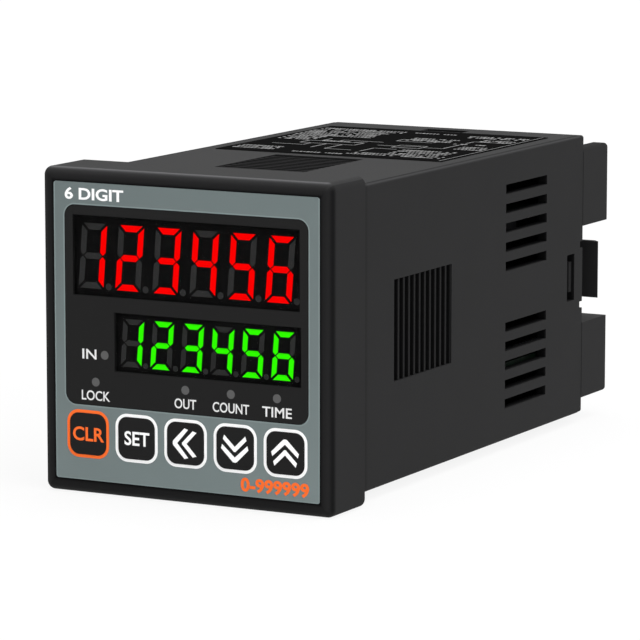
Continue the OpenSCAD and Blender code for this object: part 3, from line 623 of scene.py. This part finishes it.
class Ink:
    """Marks on one face of the counter, drawn in that face's own metres and gathered in one mesh."""

    def __init__(self, origin, across, up, thickness):
        out = across.cross(up)
        self.face = Matrix.Translation(origin) @ Matrix((across, up, out)).transposed().to_4x4()
        self.thickness = thickness
        self.marks = bmesh.new()

    def point(self, x, y, layer):
        """A vertex of the print, on the face or on top of the ink."""
        return self.marks.verts.new(self.face @ Vector((x, y, layer * self.thickness)))

    def patch(self, points):
        """A closed patch of ink inside an outline that runs counterclockwise."""
        under = [self.point(*place, 0.0) for place in points]
        over = [self.point(*place, 1.0) for place in points]
        self.marks.faces.new(over)
        self.marks.faces.new(list(reversed(under)))
        self.wall(under, over)

    def wall(self, under, over):
        """The edge of the ink between two loops of vertices."""
        for i in range(len(under)):
            j = (i + 1) % len(under)
            self.marks.faces.new((under[i], under[j], over[j], over[i]))

    def disc(self, x, y, size, sides=32):
        """A round spot of ink."""
        turns = [2.0 * math.pi * i / sides for i in range(sides)]
        self.patch([(x + size / 2.0 * math.cos(turn), y + size / 2.0 * math.sin(turn)) for turn in turns])

    def stroke(self, points, width):
        """A line of even width through points, with square ends."""
        for (x0, y0), (x1, y1) in zip(points, points[1:]):
            run = Vector((x1 - x0, y1 - y0)).normalized() * width / 2.0
            side = Vector((-run.y, run.x))
            first, last = Vector((x0, y0)) - run, Vector((x1, y1)) + run
            self.patch([tuple(p) for p in (first - side, last - side, last + side, first + side)])

    def word(self, text, x, y, height, width=None, bold=0.0, centred=True):
        """A word whose capitals have this height, on a baseline at y, about x or starting from it."""
        curve = bpy.data.curves.new("word", "FONT")
        curve.body = text
        curve.extrude = 0.5
        curve.offset = bold
        curve.resolution_u = 4
        holder = bpy.data.objects.new("word", curve)
        bpy.context.scene.collection.objects.link(holder)
        shown = holder.evaluated_get(bpy.context.evaluated_depsgraph_get())
        mesh = bpy.data.meshes.new_from_object(shown)
        bpy.data.objects.remove(holder)
        bpy.data.curves.remove(curve)
        places = [vertex.co for vertex in mesh.vertices]
        low = Vector([min(place[i] for place in places) for i in range(3)])
        high = Vector([max(place[i] for place in places) for i in range(3)])
        rise = height / (high.y - low.y)
        spread = width / (high.x - low.x) if width else rise
        start = x - (high.x - low.x) * spread / 2.0 if centred else x
        size = Matrix.Diagonal((spread, rise, self.thickness, 1.0))
        mesh.transform(self.face @ Matrix.Translation((start, y, 0.0)) @ size @ Matrix.Translation(-low))
        self.marks.from_mesh(mesh)
        bpy.data.meshes.remove(mesh)

    def add(self, mesh):
        """Marks that are already in place."""
        self.marks.from_mesh(mesh)
        bpy.data.meshes.remove(mesh)

    def piece(self, name, finish, body, slot):
        """The marks as one piece that rides on a body."""
        mesh = bpy.data.meshes.new(name)
        bmesh.ops.remove_doubles(self.marks, verts=self.marks.verts, dist=MERGE)
        self.marks.to_mesh(mesh)
        self.marks.free()
        return add_piece(name, mesh, finish, body)


def add_piece(name, mesh, finish, body):
    """A plain mesh as a piece of the counter."""
    mesh.materials.clear()
    mesh.materials.append(finish.material)
    piece = bpy.data.objects.new(name, mesh)
    bpy.context.scene.collection.objects.link(piece)
    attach(piece, body)
    return piece


def front_ink(y, thickness):
    """Ink on a face that looks forward."""
    return Ink(Vector((0.0, y, 0.0)), RIGHT, UP, thickness)


def print_tree(name, inputs):
    """An empty geometry tree with named inputs, and its graph and the sockets of its inputs."""
    tree = bpy.data.node_groups.new(name, "GeometryNodeTree")
    for title, kind in inputs.items():
        tree.interface.new_socket(title, in_out="INPUT", socket_type="NodeSocket" + kind)
    tree.interface.new_socket("Print", in_out="OUTPUT", socket_type="NodeSocketGeometry")
    graph = Graph(tree)
    return graph, graph.node("NodeGroupInput").outputs


def inked(graph, instances, finish):
    """Ends a tree: makes its instances real and gives them their ink."""
    real = graph.node("GeometryNodeRealizeInstances", sockets={"Geometry": instances})
    shown = graph.node("GeometryNodeSetMaterial", sockets={"Geometry": real.outputs[0], "Material": finish})
    graph.node("NodeGroupOutput", sockets={"Print": shown.outputs[0]})
    return graph.tree


def ring_row_tree():
    """Geometry nodes that set rounded rings in a row."""
    graph, given = print_tree("Ring row", {
        "Count": "Int", "First": "Vector", "Pitch": "Vector", "Turn": "Vector", "Width": "Float",
        "Radius": "Float", "Line": "Float", "Ink": "Float", "Finish": "Material",
    })
    path = graph.node(
        "GeometryNodeCurvePrimitiveQuadrilateral", sockets={"Width": given["Width"], "Height": given["Width"]}
    )
    rounded = graph.node(
        "GeometryNodeFilletCurve", {"mode": "POLY"},
        {"Curve": path.outputs[0], "Count": RING_CORNER, "Radius": given["Radius"]},
    )
    level_path = graph.node("GeometryNodeSetCurveNormal", {"mode": "Z_UP"}, {"Curve": rounded.outputs[0]})
    section = graph.node(
        "GeometryNodeCurvePrimitiveQuadrilateral", sockets={"Width": given["Line"], "Height": given["Ink"]}
    )
    swept = graph.node(
        "GeometryNodeCurveToMesh",
        sockets={"Curve": level_path.outputs[0], "Profile Curve": section.outputs[0]},
    )
    ring = graph.node(
        "GeometryNodeSetShadeSmooth", sockets={"Geometry": swept.outputs[0], "Shade Smooth": False}
    )
    places = graph.node(
        "GeometryNodeMeshLine", {"mode": "OFFSET"},
        {"Count": given["Count"], "Start Location": given["First"], "Offset": given["Pitch"]},
    )
    row = graph.node(
        "GeometryNodeInstanceOnPoints",
        sockets={"Points": places.outputs[0], "Instance": ring.outputs[0], "Rotation": given["Turn"]},
    )
    return inked(graph, row.outputs[0], given["Finish"])


def small_print_tree():
    """Geometry nodes that fill a block with rows of print too small to read."""
    graph, given = print_tree("Small print", {
        "Letters": "Int", "Rows": "Int", "First": "Vector", "Letter pitch": "Vector", "Row pitch": "Vector",
        "Letter": "Vector", "Gaps": "Float", "Seed": "Int", "Finish": "Material",
    })
    row = graph.node(
        "GeometryNodeMeshLine", {"mode": "OFFSET"},
        {"Count": given["Letters"], "Offset": given["Letter pitch"]},
    )
    rows = graph.node(
        "GeometryNodeMeshLine", {"mode": "OFFSET"},
        {"Count": given["Rows"], "Start Location": given["First"], "Offset": given["Row pitch"]},
    )
    block = graph.node(
        "GeometryNodeInstanceOnPoints", sockets={"Points": rows.outputs[0], "Instance": row.outputs[0]}
    )
    places = graph.node("GeometryNodeRealizeInstances", sockets={"Geometry": block.outputs[0]})
    gap = graph.node(
        "FunctionNodeRandomValue", {"data_type": "BOOLEAN"},
        {"Probability": given["Gaps"], "Seed": given["Seed"]},
    )
    kept = graph.node(
        "GeometryNodeDeleteGeometry", {"domain": "POINT"},
        {"Geometry": places.outputs[0], "Selection": gap.outputs["Value"]},
    )
    letter = graph.node("GeometryNodeMeshCube", sockets={"Size": given["Letter"]})
    size = graph.node(
        "FunctionNodeRandomValue", {"data_type": "FLOAT_VECTOR"},
        {"Min": SMALLEST_LETTER, "Max": (1.0, 1.0, 1.0), "Seed": given["Seed"]},
    )
    letters = graph.node(
        "GeometryNodeInstanceOnPoints",
        sockets={"Points": kept.outputs[0], "Instance": letter.outputs[0], "Scale": size.outputs["Value"]},
    )
    return inked(graph, letters.outputs[0], given["Finish"])


def grown(tree, **values):
    """The plain mesh that a tree grows from its inputs."""
    carrier = bpy.data.objects.new(tree.name, bpy.data.meshes.new(tree.name))
    bpy.context.scene.collection.objects.link(carrier)
    modifier = carrier.modifiers.new(tree.name, "NODES")
    modifier.node_group = tree
    for item in tree.interface.items_tree:
        if item.in_out == "INPUT":
            modifier[item.identifier] = values[item.name]
    graph = bpy.context.evaluated_depsgraph_get()
    mesh = bpy.data.meshes.new_from_object(carrier.evaluated_get(graph), depsgraph=graph)
    bpy.data.objects.remove(carrier)
    return mesh


def light_places(sizes):
    """X and Z of the five indicator lights: the one beside the lower display, then the row."""
    low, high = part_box("indicator_lights")
    places = (-2, 0, 1, 2)
    half = (high.x - low.x) / 2.0 - places[-1] * sizes.light_pitch
    row = [(place * sizes.light_pitch, low.z + half) for place in places]
    return [(sizes.side_light_x, high.z - half)] + row


def key_centre(key):
    """X and Z of a key's middle."""
    low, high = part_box(key + "_key")
    return (low.x + high.x) / 2.0, (low.z + high.z) / 2.0


# Operators


class COUNTER_OT_mouldings(Operator):
    """Finishes the bezel, the case and the terminal base as grained black plastic"""

    bl_idname = "counter.mouldings"
    bl_label = "Mouldings"

    def execute(self, context):
        base = context.scene.counter_finishes.moulding
        case = case_finish(base, edge=0.45 * MM, groove_fade=0.38 * MM, ledge_fade=0.9 * MM)
        bezel = bezel_finish(base, edge=1.2 * MM, seam=0.11 * MM, shade=0.7 * MM)
        paint(case, "case_plastic", "case")
        paint(bezel, "case_plastic", "front_bezel")
        paint(base_finish(base), "case_plastic", "terminal_base")
        return {"FINISHED"}


class COUNTER_OT_face(Operator):
    """Finishes the front sheet and prints the words above the window and below the keys"""

    bl_idname = "counter.face"
    bl_label = "Face"

    def execute(self, context):
        tones = context.scene.counter_finishes
        sizes = context.scene.counter_print
        paint(sheet_finish(tones.sheet, sizes.hairline, sizes.window_radius), "sheet_print", "front_sheet")
        low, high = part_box("front_sheet")
        title = front_ink(low.y, sizes.ink)
        title.word(
            "6 DIGIT", low.x + sizes.title_inset, high.z - sizes.title_drop, sizes.title_height,
            sizes.title_width, TITLE_BOLD, centred=False,
        )
        title.piece("face_title", ink_finish("title_ink", tones.white_ink), ROOT, "sheet_print")
        span = front_ink(low.y, sizes.ink)
        span.word(
            "0-999999", sizes.range_x, low.z + sizes.range_rise, sizes.range_height,
            sizes.range_width, RANGE_BOLD, centred=False,
        )
        span.piece("face_range", ink_finish("range_ink", tones.orange_ink), ROOT, "sheet_print")
        return {"FINISHED"}


class COUNTER_OT_window(Operator):
    """Finishes the window and prints the legends of the indicator lights"""

    bl_idname = "counter.window"
    bl_label = "Window"

    SIDE_LEGEND = "IN"
    ROW_LEGENDS = ("LOCK", "OUT", "COUNT", "TIME")

    def execute(self, context):
        tones = context.scene.counter_finishes
        sizes = context.scene.counter_print
        places = light_places(sizes)
        paint(window_finish(tones.window, tones.clear, sizes), "window_tint", "display_window")
        face_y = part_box("display_window")[0].y
        spots = front_ink(face_y, sizes.ink)
        for x, z in places:
            spots.disc(x, z, sizes.light_size)
        spots.piece("window_spots", ink_finish("spot_ink", tones.guide), ROOT, "window_tint")
        legends = front_ink(face_y, sizes.ink)
        height = sizes.legend_height
        side_x, side_z = places[0]
        words = [(self.SIDE_LEGEND, side_x - sizes.side_legend_gap, side_z - height / 2.0)]
        words += [(text, x, z - sizes.legend_drop) for text, (x, z) in zip(self.ROW_LEGENDS, places[1:])]
        for text, x, z in words:
            legends.word(text, x, z, height, len(text) * sizes.legend_letter, LEGEND_BOLD)
        legends.piece("window_legends", ink_finish("legend_ink", tones.legend_ink), ROOT, "window_tint")
        return {"FINISHED"}


class COUNTER_OT_displays(Operator):
    """Finishes the display modules, their segments and the indicator lights"""

    bl_idname = "counter.displays"
    bl_label = "Displays"

    def execute(self, context):
        tones = context.scene.counter_finishes
        module = moulded_finish("display_black", tones.display, DISPLAY_SKIN)
        paint(module, "display_black", "upper_display", "lower_display")
        paint(lit_finish("segment_red", tones.upper_lit), "segment_red", "upper_lit_segments")
        paint(lit_finish("segment_green", tones.lower_lit), "segment_green", "lower_lit_segments")
        unlit = moulded_finish("segment_dark", tones.unlit, SEGMENT_SKIN)
        paint(unlit, "segment_dark", "upper_unlit_segments", "lower_unlit_segments")
        paint(moulded_finish("light_guide", tones.guide, GUIDE_SKIN), "light_guide", "indicator_lights")
        return {"FINISHED"}


class COUNTER_OT_keys(Operator):
    """Finishes the keys, prints their words and arrows, and sets the rings round them"""

    bl_idname = "counter.keys"
    bl_label = "Keys"

    # Right halves of an arrow's two chevrons, in millimetres: notch, heel, shoulder and the rounded tip
    CHEVRONS = (
        ((0.0, 1.3), (2.07, -0.52), (2.25, 0.1), (0.42, 1.89), (0.3, 1.98), (0.15, 2.04)),
        ((0.0, -0.26), (1.73, -1.9), (1.93, -1.27), (0.3, 0.32), (0.12, 0.5)),
    )

    # Degrees by which an arrow is turned from pointing up
    TURNS = {"shift": 90.0, "down": 180.0, "up": 0.0}

    def arrow(self, ink, centre, turn):
        """Two chevrons, the leading one wider and rounder, turned from pointing up."""
        swing = Matrix.Rotation(math.radians(turn), 2)
        for half in self.CHEVRONS:
            outline = [*half, *[(-x, z) for x, z in reversed(half[1:])]]
            ink.patch([tuple(Vector(centre) + swing @ Vector(place) * MM) for place in outline])

    def execute(self, context):
        tones = context.scene.counter_finishes
        sizes = context.scene.counter_print
        cap = moulded_finish("key_plastic", tones.key, KEY_SKIN)
        paint(cap, "key_plastic", *[key + "_key" for key in KEYS])
        white = ink_finish("key_white", tones.white_ink)
        orange = ink_finish("key_orange", tones.orange_ink)
        words = {
            "reset": ("CLR", sizes.reset_word_width, orange), "mode": ("SET", sizes.mode_word_width, white),
        }
        height = sizes.key_word_height
        for key in KEYS:
            x, z = key_centre(key)
            ink = front_ink(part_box(key + "_key")[0].y, sizes.ink)
            if key in words:
                text, width, finish = words[key]
                ink.word(text, x + sizes.key_word_shift, z - height / 2.0, height, width, KEY_BOLD)
            else:
                finish = white
                self.arrow(ink, (x, z), self.TURNS[key])
            ink.piece(key + "_legend", finish, key + "_button", "key_plastic")

        tree = ring_row_tree()
        sheet_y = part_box("front_sheet")[0].y
        pitch = key_centre("mode")[0] - key_centre("reset")[0]
        run = sizes.ring_size - sizes.ring_line
        rows = (("orange_ring", "reset", 1, orange), ("white_rings", "mode", len(KEYS) - 1, white))
        for name, first, count, finish in rows:
            x, z = key_centre(first)
            rings = grown(
                tree, Count=count, First=(x, sheet_y - sizes.ink / 2.0, z), Pitch=(pitch, 0.0, 0.0),
                Turn=(math.radians(90.0), 0.0, 0.0), Width=run,
                Radius=sizes.ring_radius - sizes.ring_line / 2.0, Line=sizes.ring_line, Ink=sizes.ink,
                Finish=finish.material,
            )
            add_piece(name, rings, finish, ROOT)
        return {"FINISHED"}


class COUNTER_OT_label(Operator):
    """Finishes the wiring label and draws its wiring lines and its small print"""

    bl_idname = "counter.label"
    bl_label = "Wiring label"

    # Blocks of small print: left end and first row in millimetres from the label's left front corner,
    # then letters and rows
    BLOCKS = (
        (1.2, 34.7, 24, 2), (1.0, 31.1, 22, 5), (1.4, 23.0, 10, 4), (17.6, 34.6, 12, 1), (21.0, 27.5, 13, 3),
        (27.6, 33.8, 17, 2), (32.4, 29.3, 9, 2), (27.0, 11.3, 15, 4), (33.4, 19.3, 8, 3), (12.6, 2.2, 14, 1),
        (1.4, 6.7, 12, 3), (21.4, 4.9, 26, 2), (9.6, 17.8, 8, 1), (30.2, 22.7, 9, 1),
    )
    # Wiring lines: corner points in the same millimetres
    WIRES = (
        ((7.4, 13.9), (7.4, 17.3), (17.0, 17.3), (17.0, 13.9), (7.4, 13.9)),
        ((9.4, 13.9), (9.4, 11.2), (4.0, 11.2)), ((12.2, 13.9), (12.2, 8.6)),
        ((15.0, 13.9), (15.0, 7.6), (19.6, 7.6)),
        ((9.4, 17.3), (9.4, 20.9)), ((12.2, 17.3), (12.2, 19.8), (19.0, 19.8)), ((15.0, 17.3), (16.6, 18.9)),
        ((21.6, 7.0), (21.6, 11.7), (25.4, 11.7)),
        ((23.4, 14.0), (28.0, 14.0), (28.0, 17.5), (23.4, 17.5), (23.4, 14.0)),
        ((23.4, 15.8), (20.2, 15.8)), ((28.0, 15.8), (31.4, 15.8), (31.4, 21.6)),
        ((24.4, 14.8), (27.0, 16.9)),
        ((31.4, 24.1), (31.4, 27.0), (36.6, 27.0)),
        ((20.0, 22.5), (26.4, 22.5), (26.4, 25.0), (20.0, 25.0), (20.0, 22.5)),
    )
    # Border line beside the right edge: where it starts and how far it stays inside
    BORDER_START, BORDER_INSET = 0.5 * MM, 0.6 * MM
    # Rows of small print: pitch in letter heights, share of its pitch that a letter fills, share of gaps
    ROW_PITCH, LETTER_FILL, GAPS = 1.6, 0.85, 0.14

    def execute(self, context):
        tones = context.scene.counter_finishes
        sizes = context.scene.counter_print
        paint(moulded_finish("label_film", tones.label, LABEL_SKIN), "label_film", "wiring_label")
        low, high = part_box("wiring_label")
        ink = ink_finish("label_ink", tones.label_ink)
        art = Ink(Vector((low.x, low.y, high.z)), RIGHT, BACK, sizes.ink)
        for wire in self.WIRES:
            art.stroke([(x * MM, y * MM) for x, y in wire], sizes.label_line)
        border = high.x - low.x - self.BORDER_INSET
        end = high.y - low.y - self.BORDER_INSET
        art.stroke([(border, self.BORDER_START), (border, end)], sizes.label_line / 2.0)
        tree = small_print_tree()
        shared = {
            "Letter pitch": (sizes.letter_pitch, 0.0, 0.0),
            "Row pitch": (0.0, -self.ROW_PITCH * sizes.letter_height, 0.0),
            "Letter": (self.LETTER_FILL * sizes.letter_pitch, sizes.letter_height, sizes.ink),
            "Gaps": self.GAPS, "Finish": ink.material,
        }
        for seed, (x, y, letters, rows) in enumerate(self.BLOCKS):
            first = (low.x + x * MM, low.y + y * MM, high.z + sizes.ink / 2.0)
            art.add(grown(tree, Letters=letters, Rows=rows, First=first, Seed=seed, **shared))
        art.piece("label_art", ink, ROOT, "label_film")
        return {"FINISHED"}


class COUNTER_OT_terminals(Operator):
    """Finishes the screws, washers and contacts, and numbers the terminals"""

    bl_idname = "counter.terminals"
    bl_label = "Terminals"

    # Diameter of a screw's head, and thickness of the terminal base's flange
    SCREW_HEAD, FLANGE = 5.0 * MM, 1.1 * MM

    def execute(self, context):
        tones = context.scene.counter_finishes
        sizes = context.scene.counter_print
        steel = metal_finish("screw_steel", tones.steel, roughness=0.36)
        paint(steel, "screw_steel", "terminal_screws", "clamp_washers")
        brass = metal_finish("contact_brass", tones.brass, roughness=0.34)
        paint(brass, "contact_brass", "terminal_contacts")
        low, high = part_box("terminal_screws")
        gaps = TERMINALS_IN_ROW - 1
        pitch = (high.x - low.x - self.SCREW_HEAD) / gaps
        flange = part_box("case")[1].y + self.FLANGE
        height = sizes.terminal_number
        ink = Ink(Vector((0.0, flange, 0.0)), -RIGHT, UP, sizes.ink)
        for row, z in enumerate((-sizes.number_reach, sizes.number_reach - height)):
            for i in range(TERMINALS_IN_ROW):
                number = str(1 + i + row * TERMINALS_IN_ROW)
                ink.word(number, (i - gaps / 2.0) * pitch, z, height)
        ink.piece("terminal_numbers", ink_finish("number_ink", tones.legend_ink), ROOT, "case_plastic")
        return {"FINISHED"}


class COUNTER_OT_inside(Operator):
    """Finishes the boards, switches and components inside"""

    bl_idname = "counter.inside"
    bl_label = "Inside"

    def execute(self, context):
        tones = context.scene.counter_finishes
        paint(board_finish(tones.board), "board_laminate", "display_board", "logic_board", "power_board")
        plastics = (
            ("switch_plastic", (0.02, 0.02, 0.021), ("key_switches", *[key + "_plunger" for key in KEYS])),
            ("header_plastic", (0.012, 0.012, 0.012), ("logic_header", "power_header")),
            ("chip_plastic", (0.014, 0.014, 0.016), ("microcontroller",)),
            ("opto_plastic", (0.008, 0.008, 0.009), ("optocouplers",)),
            ("relay_plastic", (0.015, 0.05, 0.17), ("output_relay",)),
            ("core_ferrite", (0.025, 0.025, 0.028), ("transformer_core",)),
        )
        for slot, base, names in plastics:
            paint(moulded_finish(slot, base, INSIDE_SKIN), slot, *names)
        paint(winding_finish(), "winding_copper", "transformer_winding")
        paint(sleeve_finish(), "capacitor_sleeve", "filter_capacitor")
        return {"FINISHED"}


class COUNTER_OT_stage(Operator):
    """Sets the floor, the light and the camera"""

    bl_idname = "counter.stage"
    bl_label = "Stage"

    # Half the floor's side, and how far it lies below the bezel
    FLOOR_HALF, FLOOR_GAP = 4.0, 0.05 * MM
    # Lamps: the setting of their strength and the direction that they stand in
    LAMPS = {
        "top_lamp": ("top_strength", (0.1, 0.1, 1.0)),
        "side_lamp": ("side_strength", (0.85, -0.1, 0.5)),
        "front_lamp": ("front_strength", (-0.1, -1.0, 0.35)),
    }

    def floor(self, floor_tone, shadow):
        """A wide white floor under the bezel that shows a soft shadow."""
        half = self.FLOOR_HALF
        height = CAD_BOX[0].z - self.FLOOR_GAP
        mesh = bpy.data.meshes.new("floor")
        corners = [(-half, -half, height), (half, -half, height), (half, half, height), (-half, half, height)]
        mesh.from_pydata(corners, [], [(0, 1, 2, 3)])
        floor = bpy.data.objects.new("floor", mesh)
        bpy.context.scene.collection.objects.link(floor)
        finish = Finish("floor_white", Roughness=1.0, Specular_IOR_Level=0.0)
        finish.feed("Base Color", (floor_tone, floor_tone, floor_tone, 1.0))
        glow = finish.node("ShaderNodeEmission", sockets={"Strength": 1.0})
        plain = finish.node(
            "ShaderNodeMixShader", sockets={0: shadow, 1: glow.outputs[0], 2: finish.shader.outputs[0]}
        )
        seen = finish.node(
            "ShaderNodeMixShader",
            sockets={0: self.seen(finish), 1: finish.shader.outputs[0], 2: plain.outputs[0]},
        )
        finish.join(finish.tree.nodes["Material Output"].inputs["Surface"], seen.outputs[0])
        mesh.materials.append(finish.material)

    def seen(self, graph):
        """One for rays that show the background: the camera's, and those that gloss and glass send on."""
        path = graph.node("ShaderNodeLightPath").outputs
        kinds = ("Is Camera Ray", "Is Glossy Ray", "Is Transmission Ray")
        rays = [Reading(graph, path[kind]) for kind in kinds]
        return rays[0] | rays[1] | rays[2]

    def surroundings(self, scene, ambient):
        """Even light from all round, white where it is seen."""
        world = bpy.data.worlds.new("surroundings")
        world.use_nodes = True
        scene.world = world
        sky = Graph(world.node_tree)
        lit = sky.tree.nodes["Background"]
        sky.join(lit.inputs["Color"], (1.0, 1.0, 1.0, 1.0))
        sky.join(lit.inputs["Strength"], ambient)
        white = sky.node("ShaderNodeBackground", sockets={"Color": (1.0, 1.0, 1.0, 1.0), "Strength": 1.0})
        mixed = sky.node(
            "ShaderNodeMixShader", sockets={0: self.seen(sky), 1: lit.outputs[0], 2: white.outputs[0]}
        )
        sky.join(sky.tree.nodes["World Output"].inputs["Surface"], mixed.outputs[0])

    def lamp(self, name, strength, spread, place):
        """A wide soft lamp, far off in the direction of place."""
        light = bpy.data.lights.new(name, "SUN")
        light.energy = strength
        light.angle = spread
        lamp = bpy.data.objects.new(name, light)
        lamp.location = place
        lamp.rotation_euler = (-place).to_track_quat("-Z", "Y").to_euler()
        bpy.context.scene.collection.objects.link(lamp)

    def execute(self, context):
        scene = context.scene
        settings = scene.counter_stage
        scene.view_settings.view_transform = "Standard"
        self.floor(settings.floor_tone, settings.shadow)
        self.surroundings(scene, settings.ambient)
        for name, (strength, place) in self.LAMPS.items():
            self.lamp(name, getattr(settings, strength), settings.spread, Vector(place))

        camera = bpy.data.cameras.new("camera")
        camera.sensor_width = 36.0
        camera.lens = settings.lens
        camera.clip_start = 0.01
        camera.clip_end = 100.0
        view = bpy.data.objects.new("camera", camera)
        around, above = settings.azimuth, settings.elevation
        back = Vector((
            math.sin(around) * math.cos(above), -math.cos(around) * math.cos(above), math.sin(above)
        ))
        view.location = Vector(settings.target) + back * settings.distance
        view.rotation_euler = (-back).to_track_quat("-Z", "Y").to_euler()
        scene.collection.objects.link(view)
        scene.camera = view
        return {"FINISHED"}


STEPS = (
    COUNTER_OT_mouldings, COUNTER_OT_face, COUNTER_OT_window, COUNTER_OT_displays, COUNTER_OT_keys,
    COUNTER_OT_label, COUNTER_OT_terminals, COUNTER_OT_inside, COUNTER_OT_stage,
)
SETTINGS = {
    "counter_finishes": CounterFinishes, "counter_print": CounterPrint, "counter_stage": CounterStage,
}


class COUNTER_PT_steps(Panel):
    """Lists the steps and their sizes and colours"""

    bl_idname = "COUNTER_PT_steps"
    bl_label = "Panel counter"
    bl_space_type = "VIEW_3D"
    bl_region_type = "UI"
    bl_category = "Counter"

    def draw(self, context):
        for step in STEPS:
            self.layout.operator(step.bl_idname)
        for name in SETTINGS:
            settings = getattr(context.scene, name)
            box = self.layout.box()
            for field in settings.bl_rna.properties:
                if field.identifier not in ("rna_type", "name"):
                    box.prop(settings, field.identifier)


def register():
    """Registers the settings, the steps and the panel."""
    for kind in (*SETTINGS.values(), *STEPS, COUNTER_PT_steps):
        bpy.utils.register_class(kind)
    for name, kind in SETTINGS.items():
        setattr(bpy.types.Scene, name, PointerProperty(type=kind))


def unregister():
    """Takes them away again."""
    for name in SETTINGS:
        delattr(bpy.types.Scene, name)
    for kind in (COUNTER_PT_steps, *reversed(STEPS), *SETTINGS.values()):
        bpy.utils.unregister_class(kind)


def main():
    """Makes everything in order."""
    register()
    for step in STEPS:
        group, name = step.bl_idname.split(".")
        getattr(getattr(bpy.ops, group), name)()


if __name__ == "__main__":
    main()
